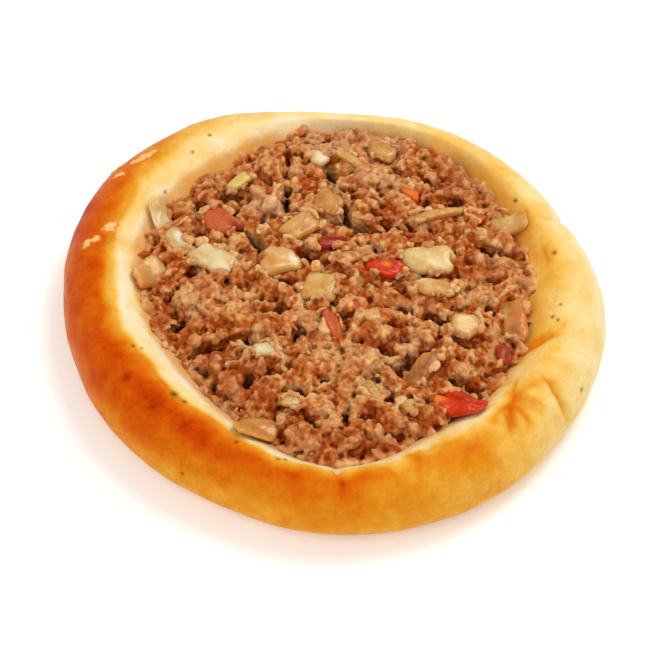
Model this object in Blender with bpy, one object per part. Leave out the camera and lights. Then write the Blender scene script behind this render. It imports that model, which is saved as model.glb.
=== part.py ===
"""An open sfiha: a round of baked yeast dough with a raised rim, filled with ground beef, onion and tomato.

Run it with: blender --background --python part.py

Shapes are worked out in millimetres and become metres in add_object(). +Z is up. The dough stands on its
flat base at z = 0, and its bounding box is centred on the Z axis. Plan angles run anticlockwise from +X.
"""

import math
import random

import bmesh
import bpy
import numpy as np
from mathutils import Matrix, Vector, geometry, noise

METRES = 0.001

# The dough, on twelve spokes 30 degrees apart, the first along +X.
OUTER_RADII = (56.5, 54.5, 55.0, 54.0, 59.5, 60.0, 56.0, 54.0, 53.0, 55.0, 56.0, 56.0)
FILLING_RADII = (41.0, 42.5, 46.0, 46.5, 43.5, 42.0, 38.5, 35.5, 37.5, 43.0, 40.0, 40.5)
CROWN_HEIGHTS = (16.0, 15.5, 15.0, 15.0, 15.5, 16.5, 16.5, 16.5, 16.0, 15.5, 15.5, 16.0)

FOOT_INSET = 6.5  # how far the flat base stops short of the widest ring
WIDEST_HEIGHT = 6.5
CROWN_INSET = 2.5  # the crown lies this far in, plus a share of the rim's width
CROWN_SHARE = 0.38
EDGE_DROP = 4.6  # from the crown down to the filling's edge
EDGE_SLOPE = 0.95  # rise over run of the dough at the filling's edge
RECESS_INSET = 6.0  # from the filling's edge in to the recess floor
FLOOR_THICKNESS = 5.0

# Rings and segments of the dough's mesh.
SEGMENTS = 112
WALL_RINGS = 4
SHOULDER_RINGS = 5
INNER_RINGS = 5

# Dents and pinches in the dough: (x, y, length, direction in degrees, depth, half width).
FOLDS = (
    (-41.5, 11.5, 12.0, 172.0, 1.3, 1.6),
    (0.5, -44.5, 9.0, -80.0, 0.9, 1.1),
    (38.0, -31.0, 8.0, -35.0, 1.1, 1.3),
    (35.0, -34.0, 8.0, -75.0, 1.0, 1.2),
    (45.0, -26.5, 9.0, -55.0, 1.0, 1.1),
    (44.0, -12.5, 12.0, 22.0, 1.3, 1.5),
    (47.5, 21.5, 9.0, 15.0, 1.2, 1.8),
    (19.0, -42.0, 6.0, -65.0, 0.7, 1.2),
    (-1.0, 46.5, 7.0, 80.0, 0.8, 1.6),
)
PUFF_DEPTH = 0.45  # uneven swelling of the rim
PUFF_SIZE = 17.0
DENT_FADE = 3.0  # dents and swellings fade out over this run to the filling's edge

# The heap of ground beef.
CLEARANCE = 0.35  # gap between pieces that touch
DOUGH_GAP = 0.65  # straight down to the dough, which keeps the same clearance on its slopes
PIECE_DOUGH_GAP = 0.85  # the same for pieces and crumbs, which are coarser
HEAP_HEIGHT = 17.6  # top of the heap at its middle
# The heap's top over the dough at the filling's edge, on the spokes.
HEAP_EDGE_RISES = (1.6, 1.8, 2.8, 3.4, 2.6, 1.8, 1.4, 1.4, 1.4, 1.4, 1.4, 1.6)
HEAP_FULLNESS = 0.55  # 0.5 is an ellipsoid, and more is flatter at the edge
HEAP_INSET = 1.2  # the core's outline inside the filling's edge
HEAP_THICKNESS = 1.0  # the least
OUTLINE_STEPS = 120
TOP_SPACING = 1.9
UNDERSIDE_SPACING = 5.0
CORE_SINK = 2.3  # the bare core's top lies this far under the heap's top
LUMP_HEIGHT = 0.5  # of a lump's mean half width
FILLERS = 130  # smaller lumps on a sunflower spiral, which show between the large ones
FILLER_RADIUS = (2.2, 3.6)
FILLER_STRETCH = 1.15
FILLER_LIFT = (-1.5, -0.3)
FILLER_INSET = 0.7  # of its radius, from the filling's edge to the outermost centres
GRAIN_SIZE = 2.2
GRAIN_DEPTH = 0.7
CRUMBS = 26
CRUMB_RADIUS = (1.6, 2.6)
CRUMB_SHAPE = (1.0, 0.8, 0.7)  # half length, width and height over its radius
CRUMB_SINK = 0.2
CRUMB_INSET = (0.9, 1.5)  # of its radius, in from the filling's edge
CRUMB_ROUGHNESS = 0.25
BEEF_FACES = 7300  # after the joins and cuts, whose slivers are merged
GOLDEN_ANGLE = math.pi * (3 - math.sqrt(5))

# Large lumps of beef: (x, y, length, width, direction in degrees, lift over the heap's top).
LUMPS = (
    (-14.5, 43.0, 7.5, 6.0, 10.0, 0.1),
    (-12.5, 36.0, 7.0, 6.5, 100.0, 0.2),
    (-6.0, 42.0, 7.0, 6.0, 60.0, 0.1),
    (3.0, 41.5, 9.0, 6.0, -35.0, 0.1),
    (11.0, 42.5, 9.5, 7.5, 0.0, 0.3),
    (16.5, 39.0, 7.0, 6.0, 80.0, 0.0),
    (25.0, 35.5, 7.5, 6.0, -40.0, 0.2),
    (21.5, 26.5, 7.5, 5.5, -20.0, 0.2),
    (-6.0, 32.0, 7.5, 5.5, 20.0, 0.0),
    (-26.5, 30.0, 8.5, 6.0, 20.0, 0.1),
    (-14.5, 24.0, 11.0, 9.5, 60.0, 0.5),
    (-31.5, 24.0, 6.5, 5.0, 10.0, 0.0),
    (-31.0, 19.0, 5.5, 4.5, -30.0, -0.1),
    (6.0, 24.5, 8.0, 6.0, -60.0, 0.2),
    (8.5, 31.0, 12.5, 8.5, -30.0, 0.5),
    (14.5, 23.5, 8.0, 6.5, -40.0, 0.3),
    (-19.5, 12.5, 6.5, 5.5, 60.0, -0.1),
    (-17.0, 3.5, 8.0, 5.5, -30.0, 0.1),
    (11.5, 12.0, 8.0, 5.0, -35.0, 0.1),
    (20.5, 13.5, 9.0, 5.5, -5.0, 0.1),
    (29.0, 15.0, 7.5, 7.0, 30.0, 0.2),
    (35.0, 15.0, 6.0, 6.5, 0.0, 0.1),
    (30.5, 7.0, 8.5, 6.5, -40.0, 0.4),
    (36.0, 5.0, 6.0, 6.5, 0.0, 0.1),
    (-27.5, -1.0, 12.5, 10.5, -20.0, 0.6),
    (-21.5, -7.0, 10.0, 8.0, 20.0, 0.3),
    (-10.0, -1.5, 8.5, 6.0, -30.0, -0.1),
    (4.5, 2.0, 7.0, 6.0, -40.0, -0.3),
    (9.5, -2.5, 9.0, 7.5, 10.0, -0.1),
    (-15.0, -10.5, 9.5, 7.0, 10.0, 0.2),
    (-5.0, -7.0, 6.5, 5.5, -30.0, -0.1),
    (3.5, -14.0, 6.0, 6.5, -60.0, 0.0),
    (30.5, -1.0, 8.5, 7.0, 0.0, 0.2),
    (36.0, -1.5, 5.5, 6.0, 0.0, 0.0),
    (9.5, -11.0, 12.5, 8.5, 0.0, 0.5),
    (17.5, -11.5, 7.5, 5.5, -20.0, 0.2),
    (26.5, -19.5, 15.5, 8.0, -40.0, 0.5),
    (-22.0, -20.5, 9.5, 7.5, 50.0, 0.0),
    (-21.0, -26.5, 6.5, 5.5, -20.0, -0.1),
    (-13.0, -17.0, 10.5, 7.0, 0.0, 0.3),
    (-3.5, -20.0, 10.0, 7.5, 0.0, 0.2),
    (6.5, -21.0, 12.0, 8.0, -30.0, 0.5),
    (6.0, -27.5, 11.0, 5.0, -40.0, 0.3),
    (-11.5, -26.5, 7.5, 6.5, 0.0, 0.0),
    (-1.5, -30.0, 8.5, 6.5, 10.0, 0.2),
    (14.5, -27.5, 5.5, 5.5, 0.0, 0.0),
    (13.0, -33.0, 7.0, 6.0, -20.0, 0.0),
    (-6.5, -37.0, 9.5, 7.0, 0.0, 0.2),
    (2.5, -38.0, 7.0, 6.5, 60.0, 0.1),
    (9.5, -38.0, 6.5, 6.0, 0.0, 0.1),
    (20.5, -32.0, 5.5, 5.0, 0.0, 0.0),
)
# Holes and cracks between them: (x, y, length, width, direction in degrees, depth).
HOLLOWS = (
    (-28.0, 15.5, 3.5, 2.4, 80.0, 2.4),
    (-21.5, 27.0, 4.5, 2.4, 0.0, 2.2),
    (-16.5, 13.5, 7.0, 2.0, -48.0, 2.8),
    (-10.0, 25.0, 7.0, 2.2, 85.0, 2.6),
    (-0.5, 32.0, 7.5, 2.4, -80.0, 3.0),
    (2.0, 22.5, 8.5, 1.8, -70.0, 2.8),
    (5.0, 17.2, 11.0, 2.6, -14.0, 3.4),
    (12.5, 17.0, 6.0, 2.0, -60.0, 2.4),
    (-5.6, 8.6, 3.8, 2.8, -40.0, 3.0),
    (1.8, 2.6, 3.4, 2.2, -60.0, 2.2),
    (14.5, 33.5, 4.5, 2.2, -30.0, 2.2),
    (20.0, 31.0, 3.6, 2.4, -70.0, 2.4),
    (26.0, 25.5, 3.6, 3.2, 0.0, 2.4),
    (32.0, 12.0, 3.6, 2.2, -20.0, 2.2),
    (-31.5, -8.0, 4.5, 2.8, 40.0, 2.8),
    (-26.5, -15.0, 6.5, 2.2, 18.0, 2.8),
    (-20.5, -13.2, 6.5, 2.2, 16.0, 2.8),
    (-11.8, -6.0, 4.2, 2.6, 20.0, 3.0),
    (-7.2, -12.2, 3.8, 2.8, 80.0, 3.0),
    (-17.2, -23.0, 3.8, 2.6, 80.0, 2.4),
    (-8.0, -26.8, 3.6, 2.0, 20.0, 2.2),
    (2.6, -32.5, 5.0, 1.8, 84.0, 2.2),
    (14.8, -6.2, 4.0, 2.6, -20.0, 3.0),
    (21.5, -7.6, 6.0, 2.2, -28.0, 2.8),
    (33.0, -5.2, 4.0, 2.4, -40.0, 2.2),
    (26.0, -14.0, 5.5, 2.4, -30.0, 2.4),
    (14.6, -20.0, 6.5, 2.6, 62.0, 3.2),
    (19.6, -16.4, 4.0, 2.2, -10.0, 2.8),
    (10.6, -16.2, 4.6, 2.2, -20.0, 2.2),
    (11.5, -28.5, 4.0, 2.2, -60.0, 2.2),
    (28.0, -24.4, 9.5, 2.2, -22.0, 2.8),
)

# Pieces of vegetable: (x, y, length, width, thickness, direction, roll, pitch, bend) with angles in degrees.
# They are as large as a berry, so each is a node. Roll turns a piece about its length, and bend cups it.
ONIONS = (
    (-36.6, 21.6, 7.5, 4.6, 1.6, -72.0, 12.0, 0.0, 0.10),
    (-33.2, 13.4, 7.4, 4.6, 2.0, -55.0, 18.0, 0.0, 0.15),
    (-25.0, 7.4, 11.6, 6.4, 1.9, -48.0, 6.0, -4.0, 0.14),
    (-38.4, 5.8, 8.8, 5.4, 2.2, 57.0, 22.0, 0.0, 0.12),
    (-7.1, 15.8, 9.4, 5.4, 1.8, 39.0, 6.0, 4.0, 0.10),
    (-0.9, 22.9, 7.2, 5.6, 1.7, -32.0, 10.0, -8.0, 0.16),
    (-10.8, 6.3, 8.6, 6.6, 2.2, 4.0, 4.0, 6.0, 0.12),
    (-2.4, -0.8, 7.8, 7.6, 2.0, -8.0, 4.0, -4.0, 0.06),
    (3.1, 6.9, 6.4, 2.9, 1.8, 16.0, 14.0, 0.0, 0.10),
    (19.8, 6.9, 10.4, 7.0, 2.2, 9.0, 8.0, -3.0, 0.12),
    (20.3, -0.9, 10.0, 4.9, 1.6, -12.0, -4.0, 0.0, 0.05),
    (27.3, -10.3, 7.4, 5.8, 2.2, 27.0, 10.0, 4.0, 0.14),
    (37.0, -7.0, 11.0, 5.4, 1.9, -90.0, 10.0, 0.0, 0.16),
    (17.8, -21.8, 9.2, 5.0, 1.8, 62.0, -22.0, -12.0, 0.18),
    (-15.2, -35.6, 7.8, 7.2, 1.8, -8.0, 6.0, 0.0, 0.08),
    (37.0, 19.4, 7.8, 5.2, 1.7, 10.0, 6.0, 0.0, 0.10),
    (21.4, 19.8, 12.6, 2.2, 1.5, 18.0, 0.0, 0.0, 0.20),
    (3.8, 36.0, 10.2, 2.2, 1.5, -41.0, 0.0, 0.0, 0.10),
)
TOMATOES = (
    (-23.9, 18.4, 9.8, 5.8, 2.1, -37.0, 6.0, 0.0, 0.10),
    (10.4, 4.3, 8.2, 4.4, 2.2, -18.0, 8.0, 0.0, 0.16),
    (-1.2, 11.2, 8.0, 2.8, 2.0, 14.0, 20.0, 0.0, 0.12),
    (-0.4, -10.6, 8.0, 3.4, 1.9, -71.0, 0.0, 4.0, 0.12),
    (25.6, -29.2, 11.4, 6.4, 1.8, -20.0, 8.0, 4.0, 0.20),
)
# Smaller bits are fused to the beef that they lie in.
BITS = (
    (-20.1, 29.7, 6.4, 3.0, 1.5, 47.0, 6.0, 0.0, 0.10),
    (-3.2, 36.6, 4.8, 4.2, 1.8, -33.0, 0.0, 0.0, 0.10),
    (10.4, 39.0, 6.4, 4.2, 1.5, -29.0, 0.0, 0.0, 0.10),
    (-14.1, -17.2, 4.8, 3.8, 1.7, 17.0, 0.0, 0.0, 0.10),
    (15.4, -30.4, 4.2, 3.2, 1.6, 47.0, 0.0, 0.0, 0.10),
    (7.8, -27.4, 6.4, 2.6, 1.4, -50.0, 0.0, 0.0, 0.10),
    (-8.2, -30.1, 4.2, 2.6, 1.3, -15.0, 0.0, 0.0, 0.10),
    (16.4, 25.6, 4.8, 2.5, 1.5, -37.0, 0.0, 0.0, 0.10),
    (30.0, 20.2, 4.4, 2.4, 1.5, -42.0, 0.0, 0.0, 0.10),
    (4.6, -6.4, 4.9, 2.7, 1.5, -37.0, 0.0, 0.0, 0.10),
    (34.6, -16.8, 5.4, 3.0, 2.0, -84.0, 0.0, 0.0, 0.10),
)
PIECE_PROUD = 0.7  # a piece's top over the heap's top
SQUARENESS = 0.62  # 1 is an ellipsoid, and less is a rounder-cornered slab


def on_spokes(values, angle):
    """A smooth closed curve through values set at equal angles, read at each angle."""
    values = np.asarray(values, float)
    count = len(values)
    place = np.asarray(angle, float) / (2 * math.pi) * count
    first = np.floor(place).astype(int)
    t = place - first
    before, start, end, after = (values[(first + k) % count] for k in (-1, 0, 1, 2))
    slope_in, slope_out = (end - before) / 2, (after - start) / 2
    return hermite(t, start, end, slope_in, slope_out)


def hermite(t, start, end, slope_in, slope_out):
    """A cubic from start to end over t from 0 to 1, with the given slopes at its ends."""
    return (
        (2 * t**3 - 3 * t**2 + 1) * start
        + (t**3 - 2 * t**2 + t) * slope_in
        + (3 * t**2 - 2 * t**3) * end
        + (t**3 - t**2) * slope_out
    )


def ring_sizes(angle):
    """Outer radius, crown radius, filling radius, recess radius and crown height at each angle."""
    outer = on_spokes(OUTER_RADII, angle)
    filling = on_spokes(FILLING_RADII, angle)
    crown = outer - CROWN_INSET - CROWN_SHARE * (outer - filling)
    return outer, crown, filling, filling - RECESS_INSET, on_spokes(CROWN_HEIGHTS, angle)


def recess_height(radius, angle):
    """Height of the dough inside its crown: the recess floor, then the slope up to the crown."""
    _, crown, filling, recess, top = ring_sizes(angle)
    edge = top - EDGE_DROP
    low_run, high_run = filling - recess, crown - filling
    low = np.clip((radius - recess) / low_run, 0, 1)
    high = np.clip((radius - filling) / high_run, 0, 1)
    lower = hermite(low, FLOOR_THICKNESS, edge, 0, EDGE_SLOPE * low_run)
    upper = hermite(high, edge, top, EDGE_SLOPE * high_run, 0)
    return np.where(radius < filling, lower, upper)


def heap_height(radius, angle):
    """Height of the heap's smooth envelope."""
    _, _, filling, _, top = ring_sizes(angle)
    edge = top - EDGE_DROP + on_spokes(HEAP_EDGE_RISES, angle)
    share = np.clip(radius / filling, 0, 1)
    return edge + (HEAP_HEIGHT - edge) * (1 - share**2) ** HEAP_FULLNESS


def polar(x, y):
    return np.hypot(x, y), np.arctan2(y, x)


def across_oval(x, y, oval_x, oval_y, direction):
    """Distance of each point along and across the axis of an oval."""
    turn = math.radians(direction)
    along = (x - oval_x) * math.cos(turn) + (y - oval_y) * math.sin(turn)
    across = (y - oval_y) * math.cos(turn) - (x - oval_x) * math.sin(turn)
    return along, across


def dents(x, y):
    """Depth of the folds at each point in plan."""
    depth = np.zeros_like(x)
    for fold_x, fold_y, length, direction, fold_depth, half_width in FOLDS:
        along, across = across_oval(x, y, fold_x, fold_y, direction)
        reach = np.exp(-((across / half_width) ** 2) - (2 * along / length) ** 4)
        depth += fold_depth * reach
    return depth


def dough_grid():
    """The dough's surface as rings of points, from the flat base's edge over the crown and into the recess."""
    angle = np.linspace(0, 2 * math.pi, SEGMENTS, endpoint=False)
    outer, crown, filling, recess, top = ring_sizes(angle)
    rings = []
    for turn in np.linspace(-math.pi / 2, 0, WALL_RINGS + 1):
        radius = outer - FOOT_INSET * (1 - math.cos(turn))
        rings.append((radius, np.full_like(angle, WIDEST_HEIGHT * (1 + math.sin(turn)))))
    for turn in np.linspace(0, math.pi / 2, SHOULDER_RINGS + 1)[1:]:
        radius = crown + (outer - crown) * math.cos(turn)
        rings.append((radius, WIDEST_HEIGHT + (top - WIDEST_HEIGHT) * math.sin(turn)))
    for start, end, count in ((crown, filling, INNER_RINGS), (filling, recess, INNER_RINGS)):
        for share in np.linspace(0, 1, count + 1)[1:]:
            radius = start + (end - start) * share
            rings.append((radius, recess_height(radius, angle)))
    radius = np.array([ring[0] for ring in rings])
    height = np.array([ring[1] for ring in rings])
    return np.stack([radius * np.cos(angle), radius * np.sin(angle), height], axis=-1)


def grid_normals(grid):
    """Outward normals of a grid of rings that closes round its segments."""
    around = np.roll(grid, -1, axis=1) - np.roll(grid, 1, axis=1)
    normals = np.cross(around, np.gradient(grid, axis=0))
    return normals / np.linalg.norm(normals, axis=-1, keepdims=True)


def puff(points):
    """Low, wide swelling and sinking of the dough."""
    flat = points.reshape(-1, 3)
    lift = [noise.noise(Vector(point) / PUFF_SIZE) for point in flat]
    return PUFF_DEPTH * np.array(lift).reshape(points.shape[:-1])


def dough():
    """Points and faces of the dough."""
    grid = dough_grid()
    raised = np.clip(grid[..., 2] / WIDEST_HEIGHT, 0, 1)  # the base stays flat
    radius, angle = polar(grid[..., 0], grid[..., 1])
    _, _, filling, _, _ = ring_sizes(angle)
    shows = np.clip((radius - filling) / DENT_FADE, 0, 1)  # nothing moves under the filling
    lift = (puff(grid) - dents(grid[..., 0], grid[..., 1])) * raised * shows
    grid = grid + grid_normals(grid) * lift[..., None]

    rings, segments = grid.shape[:2]
    points = [tuple(point) for point in grid.reshape(-1, 3)]
    faces = []
    for i in range(rings - 1):
        for j in range(segments):
            k = (j + 1) % segments
            faces.append((i * segments + j, i * segments + k, (i + 1) * segments + k, (i + 1) * segments + j))
    points += [(0, 0, FLOOR_THICKNESS), (0, 0, 0)]
    last = (rings - 1) * segments
    for j in range(segments):
        k = (j + 1) % segments
        faces.append((last + j, last + k, len(points) - 2))
        faces.append((k, j, len(points) - 1))
    return points, faces


def plan_centre():
    """Middle of the dough's bounding box in plan, which the finished object puts on the Z axis."""
    points = np.array(dough()[0])
    return (points[:, :2].max(0) + points[:, :2].min(0)) / 2


def hollow_depth(x, y):
    """Depth of the holes and cracks in the heap at each point."""
    deepest = np.zeros_like(np.asarray(x, float))
    for hole_x, hole_y, length, width, direction, depth in HOLLOWS:
        along, across = across_oval(x, y, hole_x, hole_y, direction)
        reach = np.exp(-((2 * along / length) ** 4) - (2 * across / width) ** 2)
        deepest = np.maximum(deepest, depth * reach)
    return deepest


def fillers():
    """Smaller lumps on a sunflower spiral that fills the outline, in the same terms as the large ones."""
    draw = random.Random(11)
    for index in range(FILLERS):
        angle = index * GOLDEN_ANGLE
        size = draw.uniform(*FILLER_RADIUS)
        reach = float(on_spokes(FILLING_RADII, angle)) - FILLER_INSET * size
        radius = reach * math.sqrt((index + 0.5) / FILLERS)
        length, width = 2 * size * FILLER_STRETCH, 2 * size / FILLER_STRETCH
        place = (radius * math.cos(angle), radius * math.sin(angle))
        yield *place, length, width, draw.uniform(0, 180), draw.uniform(*FILLER_LIFT)


def beef_height(x, y):
    """Height of the beef: the lumps' rounded tops over the core, with bumps and hollows."""
    radius, angle = polar(x, y)
    envelope = heap_height(radius, angle)
    height = envelope - CORE_SINK
    for lump_x, lump_y, length, width, direction, lift in (*LUMPS, *fillers()):
        along, across = across_oval(x, y, lump_x, lump_y, direction)
        away = np.hypot(2 * along / length, 2 * across / width)
        tall = LUMP_HEIGHT * (length + width) / 4
        rise = tall * np.sqrt(np.clip(1 - away**2, 0, 1))
        height = np.maximum(height, envelope - tall + rise + lift)
    grain = [noise.noise(Vector((px, py, 0)) / GRAIN_SIZE) for px, py in zip(x, y)]
    return height + GRAIN_DEPTH * np.array(grain) - hollow_depth(x, y)


def lift_off_dough(points, gap):
    """How far each point has to rise to clear the dough by gap."""
    radius, angle = polar(points[:, 0], points[:, 1])
    return np.maximum(recess_height(radius, angle) + gap - points[:, 2], 0)


def lattice(outline_radii, spacing):
    """Points of an even triangular lattice inside an outline that is given on spokes."""
    row_step = spacing * math.sqrt(0.75)
    rows = int(max(outline_radii) / row_step) + 1
    inside = []
    for row in range(-rows, rows + 1):
        for column in range(-rows - 1, rows + 2):
            x, y = (column + 0.5 * (row % 2)) * spacing, row * row_step
            radius, angle = polar(x, y)
            if radius < on_spokes(outline_radii, angle) - spacing / 2:
                inside.append((x, y))
    return inside


def heap():
    """Points and faces of the heap: a lumpy top and a coarser underside with one outline, and a low wall."""
    outline_radii = np.array(FILLING_RADII) - HEAP_INSET
    around = np.linspace(0, 2 * math.pi, OUTLINE_STEPS, endpoint=False)
    outline = on_spokes(outline_radii, around)[:, None] * np.stack([np.cos(around), np.sin(around)], -1)
    points, faces = [], []
    for spacing, upper in ((TOP_SPACING, True), (UNDERSIDE_SPACING, False)):
        plan = [Vector(p) for p in [*outline, *lattice(outline_radii, spacing)]]
        plan, _, triangles, *_ = geometry.delaunay_2d_cdt(plan, [], [list(range(OUTLINE_STEPS))], 1, 1e-6)
        flat = np.array([tuple(p) for p in plan])
        radius, angle = polar(flat[:, 0], flat[:, 1])
        height = recess_height(radius, angle) + DOUGH_GAP
        if upper:
            height = np.maximum(beef_height(flat[:, 0], flat[:, 1]), height + HEAP_THICKNESS)
        first = len(points)
        points += list(np.column_stack([flat, height]))
        faces += [tuple(first + i for i in (t if upper else reversed(t))) for t in triangles]
    for j in range(OUTLINE_STEPS):
        k = (j + 1) % OUTLINE_STEPS
        faces.append((k, j, first + j, first + k))
    return points, faces


def unit_ball():
    """Points and faces of a ball of radius 1 with 80 faces."""
    ball = bmesh.new()
    bmesh.ops.create_icosphere(ball, subdivisions=2, radius=1)
    points = np.array([tuple(v.co) for v in ball.verts])
    faces = [tuple(v.index for v in face.verts) for face in ball.faces]
    ball.free()
    return points, faces


def crumb(x, y, size, turn):
    """Points and faces of one rough loose crumb of beef on the heap's edge."""
    ball, faces = unit_ball()
    offset = Vector((x, y, 0))
    rough = [noise.noise((Vector(p) * size + offset) / GRAIN_SIZE) for p in ball]
    points = ball * (1 + CRUMB_ROUGHNESS * np.array(rough))[:, None] * size * CRUMB_SHAPE
    points = points @ np.array(Matrix.Rotation(turn, 3, "Z")).T
    radius, angle = polar(x, y)
    points += (x, y, float(heap_height(radius, angle)) - CRUMB_SINK)
    points[:, 2] += lift_off_dough(points, PIECE_DOUGH_GAP).max()
    return points, faces


def crumbs():
    """Crumbs spread round the heap's edge, which make its outline uneven."""
    draw = random.Random(4)
    for index in range(CRUMBS):
        angle = (index + draw.uniform(-0.3, 0.3)) * 2 * math.pi / CRUMBS
        size = draw.uniform(*CRUMB_RADIUS)
        radius = float(on_spokes(FILLING_RADII, angle)) - draw.uniform(*CRUMB_INSET) * size
        yield crumb(radius * math.cos(angle), radius * math.sin(angle), size, draw.uniform(0, math.pi))


def vegetable(x, y, length, width, thickness, direction, roll, pitch, bend, grow=0.0):
    """Points and faces of one cut piece of vegetable: a cupped slab with rounded edges in the heap's top."""
    ball, faces = unit_ball()
    squared = np.sign(ball) * np.abs(ball) ** SQUARENESS
    half = np.array((length, width, thickness)) / 2 + grow
    cup = bend * (squared[:, 0] ** 2 * half[0] + squared[:, 1] ** 2 * half[1]) / 2
    turned = (
        Matrix.Rotation(math.radians(direction), 3, "Z")
        @ Matrix.Rotation(math.radians(pitch), 3, "Y")
        @ Matrix.Rotation(math.radians(roll), 3, "X")
    )
    radius, angle = polar(x, y)
    place = (x, y, float(heap_height(radius, angle)) + PIECE_PROUD - thickness / 2)
    middle, points = (
        (squared * half * (1, 1, layer) - cup[:, None] * (0, 0, 1)) @ np.array(turned).T + place for layer in (0, 1)
    )
    points[:, 2] += lift_off_dough(middle, PIECE_DOUGH_GAP + thickness / 2)  # it bends up where it meets the rim
    return points, faces


def material(name, colour, roughness):
    made = bpy.data.materials.new(name)
    made.use_nodes = True
    shader = made.node_tree.nodes["Principled BSDF"]
    shader.inputs["Base Color"].default_value = (*colour, 1)
    shader.inputs["Roughness"].default_value = roughness
    shader.inputs["Metallic"].default_value = 0
    return made


def add_object(name, shape, finish, centre, collection=None):
    """Adds a shape, given in millimetres, as an object in metres."""
    points, faces = shape
    moved = (np.array([tuple(p) for p in points]) - (*centre, 0)) * METRES
    mesh = bpy.data.meshes.new(name)
    mesh.from_pydata([tuple(p) for p in moved], [], faces)
    mesh.materials.append(finish)
    mesh.shade_smooth()
    made = bpy.data.objects.new(name, mesh)
    (collection or bpy.context.scene.collection).objects.link(made)
    return made


def apply_modifiers(target):
    graph = bpy.context.evaluated_depsgraph_get()
    result = bpy.data.meshes.new_from_object(target.evaluated_get(graph))
    target.modifiers.clear()
    target.data = result


def boolean(target, operation, shapes, finish, centre):
    """Joins shapes to the target, or cuts them out of it, in one Boolean that is applied."""
    group = bpy.data.collections.new("tools")
    bpy.context.scene.collection.children.link(group)
    tools = [add_object(f"tool_{i}", shape, finish, centre, group) for i, shape in enumerate(shapes)]
    modifier = target.modifiers.new(operation.lower(), "BOOLEAN")
    modifier.operation = operation
    modifier.operand_type = "COLLECTION"
    modifier.collection = group
    modifier.solver = "EXACT"
    apply_modifiers(target)
    for tool in tools:
        bpy.data.objects.remove(tool)
    bpy.data.collections.remove(group)


def reduce(target, face_count):
    """Merges the shortest and flattest faces until face_count is left."""
    triangles = sum(len(face.vertices) - 2 for face in target.data.polygons)
    modifier = target.modifiers.new("reduce", "DECIMATE")
    modifier.ratio = face_count / triangles
    apply_modifiers(target)


def keep_largest_piece(target):
    """Deletes the loose scraps that a cut leaves."""
    shape = bmesh.new()
    shape.from_mesh(target.data)
    unseen, pieces = set(shape.verts), []
    while unseen:
        piece, edge = set(), [unseen.pop()]
        while edge:
            vert = edge.pop()
            piece.add(vert)
            near = {link.other_vert(vert) for link in vert.link_edges} & unseen
            unseen -= near
            edge.extend(near)
        pieces.append(piece)
    largest = max(pieces, key=len)
    scraps = [vert for piece in pieces if piece is not largest for vert in piece]
    bmesh.ops.delete(shape, geom=scraps, context="VERTS")
    shape.to_mesh(target.data)
    shape.free()


def main():
    for old in list(bpy.data.objects):
        bpy.data.objects.remove(old)
    crust = material("crust", (0.78, 0.45, 0.13), 0.45)
    beef = material("beef", (0.36, 0.18, 0.10), 0.6)
    onion = material("onion", (0.78, 0.62, 0.36), 0.3)
    tomato = material("tomato", (0.66, 0.10, 0.03), 0.3)

    centre = plan_centre()
    add_object("dough", dough(), crust, centre)
    for name, pieces, finish in (("onion", ONIONS, onion), ("tomato", TOMATOES, tomato)):
        for number, sizes in enumerate(pieces, start=1):
            add_object(f"{name}_{number:02d}", vegetable(*sizes), finish, centre)

    filling = add_object("beef", heap(), beef, centre)
    fused = [*crumbs(), *(vegetable(*sizes) for sizes in BITS)]
    boolean(filling, "UNION", fused, beef, centre)
    pockets = [vegetable(*sizes, grow=CLEARANCE) for sizes in ONIONS + TOMATOES]
    boolean(filling, "DIFFERENCE", pockets, beef, centre)
    keep_largest_piece(filling)
    reduce(filling, BEEF_FACES)


main()
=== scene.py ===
"""Looks of the sfiha: the browned skin of the dough, the crumbly heap of beef, and the glossy onion and tomato.

Shapes are worked out in millimetres with the same rules as the CAD source, and become metres in mesh_object().
Plan angles run anticlockwise from +X. The usual view looks along +Y and down.
"""

import math
import random

import bmesh
import bpy
import numpy as np
from mathutils import Matrix, Vector, geometry, kdtree, noise

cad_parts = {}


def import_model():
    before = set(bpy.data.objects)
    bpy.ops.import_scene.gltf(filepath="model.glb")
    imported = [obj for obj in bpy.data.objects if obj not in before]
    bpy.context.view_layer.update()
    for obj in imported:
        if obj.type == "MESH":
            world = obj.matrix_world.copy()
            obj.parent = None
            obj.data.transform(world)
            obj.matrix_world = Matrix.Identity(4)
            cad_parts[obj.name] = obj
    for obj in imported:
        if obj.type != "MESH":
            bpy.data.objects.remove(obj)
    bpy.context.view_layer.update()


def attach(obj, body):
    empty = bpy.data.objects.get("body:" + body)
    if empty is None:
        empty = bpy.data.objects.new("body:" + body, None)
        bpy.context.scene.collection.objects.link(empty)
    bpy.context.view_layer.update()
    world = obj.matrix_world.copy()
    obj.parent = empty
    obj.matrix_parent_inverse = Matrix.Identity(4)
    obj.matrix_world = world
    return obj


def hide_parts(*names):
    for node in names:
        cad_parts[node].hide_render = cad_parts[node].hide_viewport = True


METRES = 0.001
IMAGE_SIZE = 657
PLAN_CENTRE = (0.002, -0.184)  # of the spokes' frame, which the CAD model puts on the Z axis

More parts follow.
